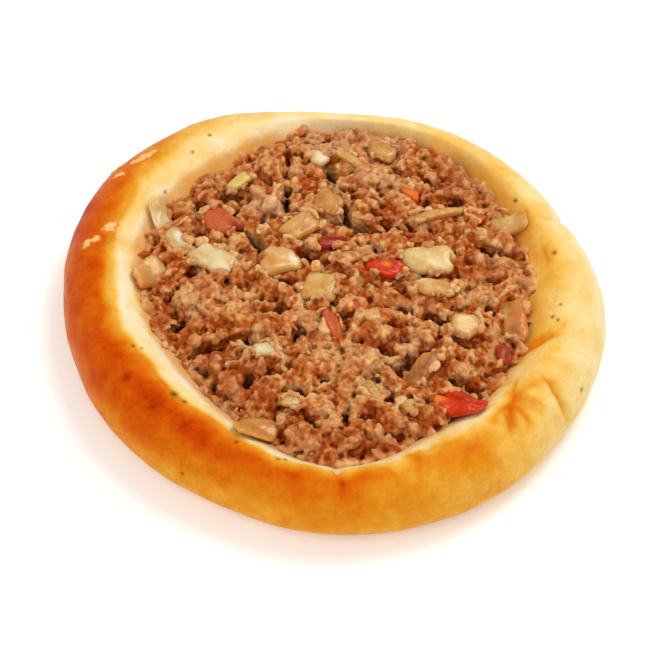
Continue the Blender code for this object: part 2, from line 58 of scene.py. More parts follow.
# ---------------------------------------------------------------- shape, as in the CAD source
OUTER_RADII = (56.5, 54.5, 55.0, 54.0, 59.5, 60.0, 56.0, 54.0, 53.0, 55.0, 56.0, 56.0)
FILLING_RADII = (41.0, 42.5, 46.0, 46.5, 43.5, 42.0, 38.5, 35.5, 37.5, 43.0, 40.0, 40.5)
CROWN_HEIGHTS = (16.0, 15.5, 15.0, 15.0, 15.5, 16.5, 16.5, 16.5, 16.0, 15.5, 15.5, 16.0)
FOOT_INSET = 6.5
WIDEST_HEIGHT = 6.5
CROWN_INSET = 2.5
CROWN_SHARE = 0.38
EDGE_DROP = 4.6
EDGE_SLOPE = 0.95
RECESS_INSET = 6.0
FLOOR_THICKNESS = 5.0
# Pinches and folds: (x, y, length, direction, depth, half width).
FOLDS = (
    (-41.5, 11.5, 12, 172, 1.3, 1.6), (0.5, -44.5, 9, -80, 0.9, 1.1), (38, -31, 8, -35, 1.1, 1.3),
    (35, -34, 8, -75, 1, 1.2), (45, -26.5, 9, -55, 1, 1.1), (44, -12.5, 12, 22, 1.3, 1.5),
    (47.5, 21.5, 9, 15, 1.2, 1.8), (19, -42, 6, -65, 0.7, 1.2), (-1, 46.5, 7, 80, 0.8, 1.6),
)
PUFF_DEPTH = 0.45
PUFF_SIZE = 17.0
DENT_FADE = 3.0

DOUGH_GAP = 0.65
PIECE_DOUGH_GAP = 0.4
HEAP_HEIGHT = 17.6
HEAP_EDGE_RISES = (1.6, 1.8, 2.8, 3.4, 2.6, 1.8, 1.4, 1.4, 1.4, 1.4, 1.4, 1.6)
HEAP_FULLNESS = 0.55
HEAP_INSET = 1.2
CORE_SINK = 2.3
LUMP_HEIGHT = 0.5
FILLERS = 130
FILLER_RADIUS = (2.2, 3.6)
FILLER_STRETCH = 1.15
FILLER_LIFT = (-1.5, -0.3)
FILLER_INSET = 0.7
GRAIN_SIZE = 2.2
GRAIN_DEPTH = 0.7
GOLDEN_ANGLE = math.pi * (3 - math.sqrt(5))
# (x, y, length, width, direction, lift)
LUMPS = (
    (-14.5, 43, 7.5, 6, 10, 0.1), (-12.5, 36, 7, 6.5, 100, 0.2), (-6, 42, 7, 6, 60, 0.1), (3, 41.5, 9, 6, -35, 0.1),
    (11, 42.5, 9.5, 7.5, 0, 0.3), (16.5, 39, 7, 6, 80, 0), (25, 35.5, 7.5, 6, -40, 0.2),
    (21.5, 26.5, 7.5, 5.5, -20, 0.2), (-6, 32, 7.5, 5.5, 20, 0), (-26.5, 30, 8.5, 6, 20, 0.1),
    (-14.5, 24, 11, 9.5, 60, 0.5), (-31.5, 24, 6.5, 5, 10, 0), (-31, 19, 5.5, 4.5, -30, -0.1),
    (6, 24.5, 8, 6, -60, 0.2), (8.5, 31, 12.5, 8.5, -30, 0.5), (14.5, 23.5, 8, 6.5, -40, 0.3),
    (-19.5, 12.5, 6.5, 5.5, 60, -0.1), (-17, 3.5, 8, 5.5, -30, 0.1), (11.5, 12, 8, 5, -35, 0.1),
    (20.5, 13.5, 9, 5.5, -5, 0.1), (29, 15, 7.5, 7, 30, 0.2), (35, 15, 6, 6.5, 0, 0.1), (30.5, 7, 8.5, 6.5, -40, 0.4),
    (36, 5, 6, 6.5, 0, 0.1), (-27.5, -1, 12.5, 10.5, -20, 0.6), (-21.5, -7, 10, 8, 20, 0.3),
    (-10, -1.5, 8.5, 6, -30, -0.1), (4.5, 2, 7, 6, -40, -0.3), (9.5, -2.5, 9, 7.5, 10, -0.1),
    (-15, -10.5, 9.5, 7, 10, 0.2), (-5, -7, 6.5, 5.5, -30, -0.1), (3.5, -14, 6, 6.5, -60, 0),
    (30.5, -1, 8.5, 7, 0, 0.2), (36, -1.5, 5.5, 6, 0, 0), (9.5, -11, 12.5, 8.5, 0, 0.5),
    (17.5, -11.5, 7.5, 5.5, -20, 0.2), (26.5, -19.5, 15.5, 8, -40, 0.5), (-22, -20.5, 9.5, 7.5, 50, 0),
    (-21, -26.5, 6.5, 5.5, -20, -0.1), (-13, -17, 10.5, 7, 0, 0.3), (-3.5, -20, 10, 7.5, 0, 0.2),
    (6.5, -21, 12, 8, -30, 0.5), (6, -27.5, 11, 5, -40, 0.3), (-11.5, -26.5, 7.5, 6.5, 0, 0),
    (-1.5, -30, 8.5, 6.5, 10, 0.2), (14.5, -27.5, 5.5, 5.5, 0, 0), (13, -33, 7, 6, -20, 0),
    (-6.5, -37, 9.5, 7, 0, 0.2), (2.5, -38, 7, 6.5, 60, 0.1), (9.5, -38, 6.5, 6, 0, 0.1), (20.5, -32, 5.5, 5, 0, 0),
)
# (x, y, length, width, direction, depth)
HOLLOWS = (
    (-28, 15.5, 3.5, 2.4, 80, 2.4), (-21.5, 27, 4.5, 2.4, 0, 2.2), (-16.5, 13.5, 7, 2, -48, 2.8),
    (-10, 25, 7, 2.2, 85, 2.6), (-0.5, 32, 7.5, 2.4, -80, 3), (2, 22.5, 8.5, 1.8, -70, 2.8),
    (5, 17.2, 11, 2.6, -14, 3.4), (12.5, 17, 6, 2, -60, 2.4), (-5.6, 8.6, 3.8, 2.8, -40, 3),
    (1.8, 2.6, 3.4, 2.2, -60, 2.2), (14.5, 33.5, 4.5, 2.2, -30, 2.2), (20, 31, 3.6, 2.4, -70, 2.4),
    (26, 25.5, 3.6, 3.2, 0, 2.4), (32, 12, 3.6, 2.2, -20, 2.2), (-31.5, -8, 4.5, 2.8, 40, 2.8),
    (-26.5, -15, 6.5, 2.2, 18, 2.8), (-20.5, -13.2, 6.5, 2.2, 16, 2.8), (-11.8, -6, 4.2, 2.6, 20, 3),
    (-7.2, -12.2, 3.8, 2.8, 80, 3), (-17.2, -23, 3.8, 2.6, 80, 2.4), (-8, -26.8, 3.6, 2, 20, 2.2),
    (2.6, -32.5, 5, 1.8, 84, 2.2), (14.8, -6.2, 4, 2.6, -20, 3), (21.5, -7.6, 6, 2.2, -28, 2.8),
    (33, -5.2, 4, 2.4, -40, 2.2), (26, -14, 5.5, 2.4, -30, 2.4), (14.6, -20, 6.5, 2.6, 62, 3.2),
    (19.6, -16.4, 4, 2.2, -10, 2.8), (10.6, -16.2, 4.6, 2.2, -20, 2.2), (11.5, -28.5, 4, 2.2, -60, 2.2),
    (28, -24.4, 9.5, 2.2, -22, 2.8),
)


# (x, y, length, width, thickness, direction, roll, pitch, bend)
ONIONS = (
    (-36.6, 21.6, 7.5, 4.6, 1.6, -72, 12, 0, 0.1), (-33.2, 13.4, 7.4, 4.6, 2, -55, 18, 0, 0.15),
    (-25, 7.4, 11.6, 6.4, 1.9, -48, 6, -4, 0.14), (-38.4, 5.8, 8.8, 5.4, 2.2, 57, 22, 0, 0.12),
    (-7.1, 15.8, 9.4, 5.4, 1.8, 39, 6, 4, 0.1), (-0.9, 22.9, 7.2, 5.6, 1.7, -32, 10, -8, 0.16),
    (-10.8, 6.3, 8.6, 6.6, 2.2, 4, 4, 6, 0.12), (-2.4, -0.8, 7.8, 7.6, 2, -8, 4, -4, 0.06),
    (3.1, 6.9, 6.4, 2.9, 1.8, 16, 14, 0, 0.1), (19.8, 6.9, 10.4, 7, 2.2, 9, 8, -3, 0.12),
    (20.3, -0.9, 10, 4.9, 1.6, -12, -4, 0, 0.05), (27.3, -10.3, 7.4, 5.8, 2.2, 27, 10, 4, 0.14),
    (37, -7, 11, 5.4, 1.9, -90, 10, 0, 0.16), (17.8, -21.8, 9.2, 5, 1.8, 62, -22, -12, 0.18),
    (-15.2, -35.6, 7.8, 7.2, 1.8, -8, 6, 0, 0.08), (37, 19.4, 7.8, 5.2, 1.7, 10, 6, 0, 0.1),
    (21.4, 19.8, 12.6, 2.2, 1.5, 18, 0, 0, 0.2), (3.8, 36, 10.2, 2.2, 1.5, -41, 0, 0, 0.1),
)
# How brown each of them is, from 0, pale and glassy, to 1.
ONION_TONES = (0.25, 0.3, 0.15, 0.45, 0.55, 0.6, 0.4, 0.38, 0.7, 0.2, 0.45, 0.4, 0.75, 0.85, 0.6, 0.45, 0.55, 0.4)
TOMATOES = (
    (-23.9, 18.4, 9.8, 5.8, 2.1, -37, 6, 0, 0.1), (10.4, 4.3, 8.2, 4.4, 2.2, -18, 8, 0, 0.16),
    (-1.2, 11.2, 8, 2.8, 2, 14, 20, 0, 0.12), (-0.4, -10.6, 8, 3.4, 1.9, -71, 0, 4, 0.12),
    (25.6, -29.2, 11.4, 6.4, 1.8, -20, 8, 4, 0.34),
)
# How dull and pink each of them is, from 0, bright red skin, to 1, the flesh side under meat juice.
TOMATO_TONES = (0.9, 0.2, 0.45, 0.8, 0.05)
TOMATO_GROOVES = (0.3, 0.4, 0.3, 0.45, 1.4)
ONION_BITS = (
    (-20.1, 29.7, 6.4, 3, 1.5, 47, 6, 0, 0.1), (-3.2, 36.6, 4.8, 4.2, 1.8, -33, 0, 0, 0.1),
    (-14.1, -17.2, 4.8, 3.8, 1.7, 17, 0, 0, 0.1), (15.4, -30.4, 4.2, 3.2, 1.6, 47, 0, 0, 0.1),
    (7.8, -27.4, 6.4, 2.6, 1.4, -50, 0, 0, 0.1), (-8.2, -30.1, 4.2, 2.6, 1.3, -15, 0, 0, 0.1),
    (10.4, 39, 6.4, 4.2, 1.5, -29, 0, 0, 0.1),
)
ONION_BIT_TONES = (0.35, 0.2, 0.25, 0.45, 0.5, 0.4, 0.6)
TOMATO_BITS = (
    (16.4, 25.6, 4.8, 2.5, 1.5, -37, 0, 0, 0.1), (30, 20.2, 4.4, 2.4, 1.5, -42, 0, 0, 0.1),
    (4.6, -6.4, 4.9, 2.7, 1.5, -37, 0, 0, 0.1), (34.6, -16.8, 5.4, 3, 2, -84, 0, 0, 0.1),
)
TOMATO_BIT_TONES = (0.35, 0.8, 0.9, 0.75)
PIECE_PROUD = 0.7
PIECE_SETTLE = 0.45  # the pieces sit this much deeper in the meat than in the CAD model
# Spots on the pieces, paler above 0 and more orange below 0, and on tomatoes more orange above 0 and darker red below
# 0:
# (place along and across from -1 to 1, size, amount). Most are the pieces' own colour, but the pale spots on the
# onions are partly painted highlights, and the spots below 0 on onion_14 and along one edge of tomato_05 are painted
# shade.
SPOTS_AND_PAINTED_LIGHT = {
    "onion_01": ((0.5, -0.4, 0.8, 0.6), (-0.6, 0.6, 0.6, -0.5)),
    "onion_02": ((0.1, 0.5, 0.6, 1), (-0.2, -0.7, 0.6, -1)),
    "onion_03": ((0.85, -0.1, 0.4, 1), (-0.1, 0.2, 0.6, 0.5), (-0.8, -0.5, 0.6, -0.7)),
    "onion_04": ((0.5, 0.2, 0.7, 0.2), (-0.7, -0.3, 0.8, -0.7)),
    "onion_05": ((0.3, 0.5, 0.4, 0.35),),
    "onion_06": ((-0.5, -0.6, 0.7, -0.5),),
    "onion_07": ((0.55, 0.1, 0.5, 0.85), (-0.6, -0.1, 0.7, -0.7)),
    "onion_08": ((-0.4, 0.5, 0.5, 0.35),),
    "onion_10": ((0.5, 0.1, 0.6, 0.2), (-0.9, -0.3, 0.5, -0.5)),
    "onion_11": ((-0.5, 0.5, 0.5, 0.5), (0, -0.8, 0.6, -0.6)),
    "onion_12": ((-0.1, 0.3, 0.45, 0.1), (0.7, -0.6, 0.6, -0.6)),
    "onion_13": ((0, -0.6, 0.3, 0.6), (0, 0.6, 0.9, -0.9)),
    "onion_14": ((0.5, -0.7, 0.6, 0.35), (-0.4, 0.6, 0.7, -0.4)),
    "onion_15": ((0, 0, 0.9, -0.7),),
    "onion_16": ((0, 0.5, 0.5, 0.3),),
    "onion_bits_01": ((0, 0, 0.8, 0.2),),
    "onion_bits_02": ((0.3, 0.1, 0.8, 0.9),),
    "onion_bits_03": ((-0.3, 0, 0.7, 0.8),),
    "onion_bits_04": ((0, 0, 0.5, 0.3),),
    "tomato_01": ((0.9, 0.2, 0.5, -0.8),),
    "tomato_02": ((0.1, 0.3, 0.4, 0.7), (-0.9, 0, 0.4, 0.3)),
    "tomato_03": ((0, 0, 1.5, -0.9),),
    "tomato_05": ((-0.95, 0, 0.45, 0.9), (0.1, 0.7, 0.5, -0.6)),
    "tomato_bits_01": ((0, 0, 1.5, 0.6),),
    "tomato_bits_04": ((0, 0, 1.5, -0.8),),
}
GREENER = {"onion_bits_01": 0.85, "onion_08": 0.05, "onion_10": 0.12, "onion_03": 0.04}  # how green a piece is
# Kind, rows, tones, depths of the groove along each piece, seed and fineness of the mesh.
KINDS = (
    ("onion", ONIONS, ONION_TONES, (0,) * len(ONIONS), 0, 1.0),
    ("tomato", TOMATOES, TOMATO_TONES, TOMATO_GROOVES, 60, 1.0),
    ("onion_bits", ONION_BITS, ONION_BIT_TONES, (0,) * len(ONION_BITS), 79, 0.7),
    ("tomato_bits", TOMATO_BITS, TOMATO_BIT_TONES, (0.2,) * len(TOMATO_BITS), 94, 0.7),
)


def on_spokes(values, angle):
    """A smooth closed curve through values set at equal angles, read at each angle."""
    values = np.asarray(values, float)
    count = len(values)
    place = np.asarray(angle, float) / (2 * math.pi) * count
    first = np.floor(place).astype(int)
    t = place - first
    before, start, end, after = (values[(first + k) % count] for k in (-1, 0, 1, 2))
    return hermite(t, start, end, (end - before) / 2, (after - start) / 2)


def hermite(t, start, end, slope_in, slope_out):
    return (
        (2 * t**3 - 3 * t**2 + 1) * start
        + (t**3 - 2 * t**2 + t) * slope_in
        + (3 * t**2 - 2 * t**3) * end
        + (t**3 - t**2) * slope_out
    )


def smooth(t):
    t = np.clip(t, 0, 1)
    return t * t * (3 - 2 * t)


def polar(x, y):
    return np.hypot(x, y), np.arctan2(y, x)


def ring_sizes(angle):
    """Outer radius, crown radius, filling radius, recess radius and crown height at each angle."""
    outer = on_spokes(OUTER_RADII, angle)
    filling = on_spokes(FILLING_RADII, angle)
    crown = outer - CROWN_INSET - CROWN_SHARE * (outer - filling)
    return outer, crown, filling, filling - RECESS_INSET, on_spokes(CROWN_HEIGHTS, angle)


def recess_height(radius, angle):
    """Height of the dough inside its crown."""
    _, crown, filling, recess, top = ring_sizes(angle)
    edge = top - EDGE_DROP
    low_run, high_run = filling - recess, crown - filling
    low = np.clip((radius - recess) / low_run, 0, 1)
    high = np.clip((radius - filling) / high_run, 0, 1)
    lower = hermite(low, FLOOR_THICKNESS, edge, 0, EDGE_SLOPE * low_run)
    upper = hermite(high, edge, top, EDGE_SLOPE * high_run, 0)
    return np.where(radius < filling, lower, upper)


def heap_height(radius, angle):
    """Height of the heap's smooth envelope."""
    _, _, filling, _, top = ring_sizes(angle)
    edge = top - EDGE_DROP + on_spokes(HEAP_EDGE_RISES, angle)
    share = np.clip(radius / filling, 0, 1)
    return edge + (HEAP_HEIGHT - edge) * (1 - share**2) ** HEAP_FULLNESS


def noise_at(points, size, seed=0):
    """Perlin noise at points, with features of about the given size."""
    scaled = np.asarray(points, float) / size + seed * 13.7
    return np.array([noise.noise(Vector(p)) for p in scaled.tolist()])


def flat_noise(x, y, size, seed=0):
    return noise_at(np.column_stack([x, y, np.zeros_like(x)]), size, seed)


def along_across(x, y, centre_x, centre_y, direction):
    """Distance of each point along and across an axis through a centre."""
    turn = math.radians(direction)
    along = (x - centre_x) * math.cos(turn) + (y - centre_y) * math.sin(turn)
    across = (y - centre_y) * math.cos(turn) - (x - centre_x) * math.sin(turn)
    return along, across


def ridge(x, y, centre_x, centre_y, length, half_width, direction):
    """A soft line's strength at each point, 1 on the line and 0 away from it."""
    along, across = along_across(x, y, centre_x, centre_y, direction)
    return np.exp(-((across / half_width) ** 2) - (2 * along / length) ** 4)


def blob(x, y, centre_x, centre_y, length, width, direction):
    """A soft oval's strength at each point."""
    along, across = along_across(x, y, centre_x, centre_y, direction)
    return np.exp(-((2 * along / length) ** 2) - (2 * across / width) ** 2)


# ---------------------------------------------------------------- meshes
def raw_mesh(name, points, *face_arrays):
    """A Blender mesh of arrays of faces, each array with one number of corners."""
    corners = np.concatenate([faces.ravel() for faces in face_arrays]).astype(np.int32)
    sizes = np.concatenate([np.full(len(faces), faces.shape[1], np.int32) for faces in face_arrays])
    mesh = bpy.data.meshes.new(name)
    mesh.vertices.add(len(points))
    mesh.vertices.foreach_set("co", np.asarray(points, float).ravel())
    mesh.loops.add(len(corners))
    mesh.loops.foreach_set("vertex_index", corners)
    mesh.polygons.add(len(sizes))
    mesh.polygons.foreach_set("loop_start", np.cumsum(sizes, dtype=np.int32) - sizes)
    mesh.update(calc_edges=True)
    return mesh


def mesh_object(name, points, attributes, *face_arrays):
    """An object in metres from points in millimetres."""
    mesh = raw_mesh(name, (np.asarray(points, float) - (*PLAN_CENTRE, 0)) * METRES, *face_arrays)
    mesh.validate()
    mesh.shade_smooth()
    for key, values in attributes.items():
        layer = mesh.attributes.new(key, "FLOAT", "POINT")
        layer.data.foreach_set("value", np.asarray(values, np.float32))
    made = bpy.data.objects.new(name, mesh)
    bpy.context.scene.collection.objects.link(made)
    return made


def ring_quads(rings, segments, first=0):
    """Quads between closed rings of points that follow each other."""
    start = first + np.arange(rings - 1)[:, None] * segments
    j = np.arange(segments)
    k = (j + 1) % segments
    return np.stack([start + j, start + k, start + segments + k, start + segments + j], -1).reshape(-1, 4)


def cap(first, segments, middle):
    """Triangles between a ring of points and the point in its middle."""
    ring = first + np.arange(segments)
    return np.column_stack([ring, np.roll(ring, -1), np.full_like(ring, middle)])


def keep(piece, material, slot, *nodes):
    """Gives a piece its material, body and the CAD nodes that it stands for. The slot is not used."""
    piece.data.materials.clear()
    piece.data.materials.append(material)
    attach(piece, "root")
    if nodes:
        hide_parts(*nodes)


def read(items, name, columns=3, kind=np.float64):
    """One row of numbers for each of a mesh's items."""
    values = np.empty(len(items) * columns, kind)
    items.foreach_get(name, values)
    return values.reshape(-1, columns)


def points_and_normals(mesh):
    return read(mesh.vertices, "co"), read(mesh.vertex_normals, "vector", kind=np.float32)


def average_neighbours(values, edges, times=1, share=1.0):
    """Moves each point's value a share of the way to its neighbours' mean, several times."""
    count = np.bincount(edges.ravel(), minlength=len(values)).astype(float)
    count[count == 0] = 1
    for _ in range(times):
        total = np.empty_like(values)
        for column in range(values.shape[1]):
            near = np.bincount(edges[:, 0], weights=values[edges[:, 1], column], minlength=len(values))
            near += np.bincount(edges[:, 1], weights=values[edges[:, 0], column], minlength=len(values))
            total[:, column] = near / count
        values = values + (total - values) * share
    return values


def unit_ball(subdivisions):
    ball = bmesh.new()
    bmesh.ops.create_icosphere(ball, subdivisions=subdivisions, radius=1)
    points = np.array([tuple(v.co) for v in ball.verts])
    faces = np.array([[v.index for v in face.verts] for face in ball.faces])
    ball.free()
    return points, faces


# ---------------------------------------------------------------- materials
def srgb(red, green, blue):
    """A linear colour from display values of 0 to 255."""
    channels = (c / 255 for c in (red, green, blue))
    return (*(c / 12.92 if c <= 0.04045 else ((c + 0.055) / 1.055) ** 2.4 for c in channels), 1)


class Shader:
    """A Principled material and the few node makers that it needs. Sizes are in millimetres."""

    def __init__(self, name, **settings):
        self.material = bpy.data.materials.new(name)
        self.material.use_nodes = True
        self.tree = self.material.node_tree
        self.surface = self.tree.nodes["Principled BSDF"]
        self.place = self.add("TexCoord", "Object")
        self.colour = None
        for key, value in settings.items():
            self.set(key.replace("_", " "), value)

    def add(self, kind, output=0, **inputs):
        made = self.tree.nodes.new("ShaderNode" + kind)
        for key, value in inputs.items():
            name = key.replace("_", " ")
            if name in made.inputs:
                self.feed(made.inputs[name], value)
            else:
                setattr(made, key, value)
        return made.outputs[output]

    def feed(self, socket, value):
        if isinstance(value, bpy.types.NodeSocket):
            self.tree.links.new(value, socket)
        else:
            socket.default_value = value

    def set(self, name, value):
        self.feed(self.surface.inputs[name], value)

    def read(self, name):
        return self.add("Attribute", "Fac", attribute_name=name)

    def noise(self, size, detail=3.0, roughness=0.5):
        """Noise from 0 to 1 with features of about a size."""
        scale = 1 / (size * METRES)
        return self.add("TexNoise", "Fac", Vector=self.place, Scale=scale, Detail=detail, Roughness=roughness)

    def math(self, operation, a, b):
        made = self.tree.nodes.new("ShaderNodeMath")
        made.operation = operation
        self.feed(made.inputs[0], a)
        self.feed(made.inputs[1], b)
        return made.outputs[0]

    def times(self, value, factor):
        return self.math("MULTIPLY", value, factor)

    def sum(self, total, *values):
        for value in values:
            total = self.math("ADD", total, value)
        return total

    def stir(self, amount, *noise):
        """Noise on both sides of 0."""
        return self.times(self.sum(self.noise(*noise), -0.5), amount)

    def between(self, value, low, high, to_low=0.0, to_high=1.0):
        """Maps low..high smoothly to to_low..to_high."""
        return self.add(
            "MapRange", interpolation_type="SMOOTHSTEP", Value=value, From_Min=low, From_Max=high, To_Min=to_low,
            To_Max=to_high,
        )

    def ramp(self, value, *stops):
        """Starts the colour from stops of place, red, green and blue."""
        made = self.tree.nodes.new("ShaderNodeValToRGB")
        marks = made.color_ramp.elements
        while len(marks) < len(stops):
            marks.new(1)
        for mark, (position, *colour) in zip(marks, stops):
            mark.position, mark.color = position, srgb(*colour)
        self.feed(made.inputs[0], value)
        self.colour = made.outputs[0]

    def paint(self, *layers):
        """Lays colours over the colour, one after another: where, how strong, red, green and blue."""
        for share, strength, *colour in layers:
            made = self.tree.nodes.new("ShaderNodeMix")
            made.data_type = "RGBA"
            self.feed(made.inputs["Factor"], self.times(share, strength))
            self.feed(made.inputs[6], self.colour)
            self.feed(made.inputs[7], srgb(*colour))
            self.colour = made.outputs[2]
        self.set("Base Color", self.colour)

    def bump(self, *layers):
        """Bump from layers of height, strength and distance, each over the one before it."""
        below = {}
        for height, strength, distance in layers:
            normal = self.add("Bump", Height=height, Strength=strength, Distance=distance * METRES, **below)
            below = {"Normal": normal}
        self.set("Normal", normal)


# ---------------------------------------------------------------- the dough
SEGMENTS = 840
WALL_RINGS = 24
SHOULDER_RINGS = 36
SLOPE_RINGS = 34
RECESS_RINGS = 14

# Browning on the twelve spokes, from 0, raw and creamy, to 1, deep brown, at places across the rim:
# 0 is the foot, 1 the widest ring, 2 the crown and 3 the filling's edge. The low values on the left inner slope
# (spokes 5 to 7, around place 2.35) are pale dough and, in part, a painted highlight of its sheen.
BROWNING_AND_SHEEN = (
    (0, (0.3, 0.3, 0.3, 0.35, 0.42, 0.5, 0.52, 0.5, 0.46, 0.46, 0.42, 0.34)),
    (0.6, (0.16, 0.18, 0.24, 0.3, 0.5, 0.62, 0.64, 0.56, 0.5, 0.5, 0.42, 0.26)),
    (1, (0.1, 0.12, 0.18, 0.26, 0.56, 0.72, 0.74, 0.66, 0.54, 0.54, 0.44, 0.2)),
    (1.45, (0.14, 0.15, 0.22, 0.2, 0.54, 0.82, 0.84, 0.84, 0.72, 0.62, 0.48, 0.22)),
    (1.8, (0.2, 0.2, 0.26, 0.16, 0.32, 0.8, 0.78, 0.9, 0.88, 0.7, 0.5, 0.3)),
    (2.1, (0.32, 0.32, 0.3, 0.12, 0.16, 0.54, 0.42, 0.66, 0.62, 0.38, 0.32, 0.34)),
    (2.35, (0.36, 0.36, 0.28, 0.1, 0.14, 0.26, 0.04, 0.2, 0.18, 0.1, 0.1, 0.26)),
    (2.7, (0.36, 0.38, 0.27, 0.13, 0.2, 0.12, 0.16, 0.06, 0.06, 0.06, 0.08, 0.22)),
    (3, (0.4, 0.42, 0.31, 0.19, 0.26, 0.12, 0.26, 0.1, 0.1, 0.1, 0.12, 0.28)),
    (4, (0.3, 0.4, 0.4, 0.3, 0.2, 0.2, 0.2, 0.25, 0.25, 0.25, 0.25, 0.3)),
)
# Patches that are browner or paler: (x, y, length, width, direction, amount).
PATCHES = (
    (26, -42, 17, 9, -24, 0.15), (22.5, -39.5, 8, 5, -20, 0.1), (-42, -24.2, 3, 2.2, 30, 0.12),
    (-35.7, -31.2, 3, 2.4, 30, 0.1), (-29.1, -36.5, 4.5, 3, 30, 0.06), (-48, 5, 9, 6, 90, 0.08),
    (-53, 22, 9, 6, 60, 0.1), (40.5, -13.5, 7, 3.5, 60, 0.24), (36, -27, 8, 4, 70, 0.16), (30, 31, 12, 4, 135, 0.18),
    (38, 20, 10, 5, 120, 0.1), (48, 5, 10, 6, 90, 0.06), (15.3, -43.6, 3.4, 4.2, 90, 0.3), (3, -50, 10, 9, 0, 0.08),
    (7, -46.5, 5, 5, 90, 0.14),
)
# Fine wrinkles: (x, y, length, half width, direction, depth, browning).
WRINKLES = (
    (38.6, -29.6, 7, 0.6, -20, 0.35, 0.18), (37.4, -32.2, 7.5, 0.6, -52, 0.4, 0.24),
    (35.2, -33.4, 7.5, 0.6, -78, 0.4, 0.28), (32.6, -32.8, 6.5, 0.6, -112, 0.32, 0.22),
    (35.8, -26.6, 6, 0.6, 78, 0.32, 0.18), (39.5, -26.5, 6, 0.55, 30, 0.3, 0.18),
    (44.6, -26.4, 7.5, 0.5, -45, 0.55, 0.28), (42.6, -12.6, 8, 0.55, 20, 0.45, 0.16),
    (38.4, -15.6, 6, 0.6, 62, 0.3, 0.22), (1, -49, 8, 0.45, -80, 0.4, 0.14), (-1.4, -47.4, 4, 0.45, -66, 0.2, 0),
    (16.6, -46, 8, 0.5, -82, 0.25, 0.06), (10.8, -45.6, 5, 0.5, -84, 0.18, 0.05),
    (-42.8, 12.4, 12, 0.6, 172, 0.2, 0.08), (-36.4, 9.6, 5, 0.5, 140, 0.3, 0.05), (46.4, 20.8, 6, 0.6, 12, 0.35, 0.1),
    (44, 9, 6, 0.6, 100, 0.25, 0.1),
)
# Blistered, flaky spots in the skin: (x, y, length, width, direction).
BLISTERS = (
    (-40.5, 36.6, 8, 2.4, 32), (-45.8, 36, 5.5, 2.2, 38), (-45.4, 31.5, 3.6, 1.8, 30), (-50.4, 12, 5, 2.4, 25),
    (-46.9, 15.4, 4.6, 3, 60),
)
# Dark specks and small pits: (x, y, radius, depth).
SPECKS = (
    (-26.7, 42.9, 0.42, 0.1), (-30.2, 38.2, 0.34, 0.1), (-35.7, 27.9, 0.4, 0.1), (-40.6, -16.8, 0.4, 0.1),
    (-38.9, -17, 0.3, 0.1), (-19.3, -40.8, 0.4, 0.1), (-11, -44.9, 0.38, 0.1), (-9.6, -44.7, 0.4, 0.1),
    (-30.1, -43.2, 0.42, 0.1), (-29.9, -30.6, 0.5, 0.2), (44.7, -7.8, 0.45, 0.2), (45.9, -8.9, 0.36, 0.1),
    (46.5, -5, 0.36, 0.1), (38.4, 25, 0.5, 0.2), (46, 9.4, 0.5, 0.2), (-31.8, -28.8, 0.8, 0.3), (50.5, -23, 0.5, 0.1),
)
# Where juice of the filling has soaked the slope: (from angle, to angle, strength).
JUICES = (
    (185, 262, 0.9), (262, 330, 0.7), (15, 58, 0.8), (58, 105, 0.4), (105, 140, 1), (140, 185, 1), (330, 380, 0.45),
)


def dough_rings():
    """Rings of points from the foot over the crown and down into the recess, and their places across the rim."""
    angle = np.linspace(0, 2 * math.pi, SEGMENTS, endpoint=False)
    outer, crown, filling, recess, top = ring_sizes(angle)
    rings = []
    for share in np.linspace(0, 1, WALL_RINGS + 1):
        turn = (share - 1) * math.pi / 2
        radius = outer - FOOT_INSET * (1 - math.cos(turn))
        rings.append((radius, np.full_like(angle, WIDEST_HEIGHT * (1 + math.sin(turn))), share))
    for share in np.linspace(0, 1, SHOULDER_RINGS + 1)[1:]:
        turn = share * math.pi / 2
        radius = crown + (outer - crown) * math.cos(turn)
        rings.append((radius, WIDEST_HEIGHT + (top - WIDEST_HEIGHT) * math.sin(turn), 1 + share))
    for start, end, count, first in ((crown, filling, SLOPE_RINGS, 2), (filling, recess, RECESS_RINGS, 3)):
        for share in np.linspace(0, 1, count + 1)[1:]:
            radius = start + (end - start) * share
            rings.append((radius, recess_height(radius, angle), first + share))
    radius, height, across = (np.array(column) for column in zip(*rings))
    grid = np.stack([radius * np.cos(angle), radius * np.sin(angle), height], axis=-1)
    return grid, np.repeat(across, SEGMENTS)


def grid_normals(grid):
    around = np.roll(grid, -1, axis=1) - np.roll(grid, 1, axis=1)
    normals = np.cross(around, np.gradient(grid, axis=0))
    return normals / np.linalg.norm(normals, axis=-1, keepdims=True)


def browning_and_sheen_at(across, angle):
    """Browning at each place, from the bands, with a painted highlight in the pale band on the left inner slope."""
    places = [band[0] for band in BROWNING_AND_SHEEN]
    levels = np.stack([on_spokes(band[1], angle) for band in BROWNING_AND_SHEEN])
    result = np.array(levels[0])
    for k in range(len(places) - 1):
        share = smooth((across - places[k]) / (places[k + 1] - places[k]))
        result = np.where(across >= places[k], levels[k] + (levels[k + 1] - levels[k]) * share, result)
    return result


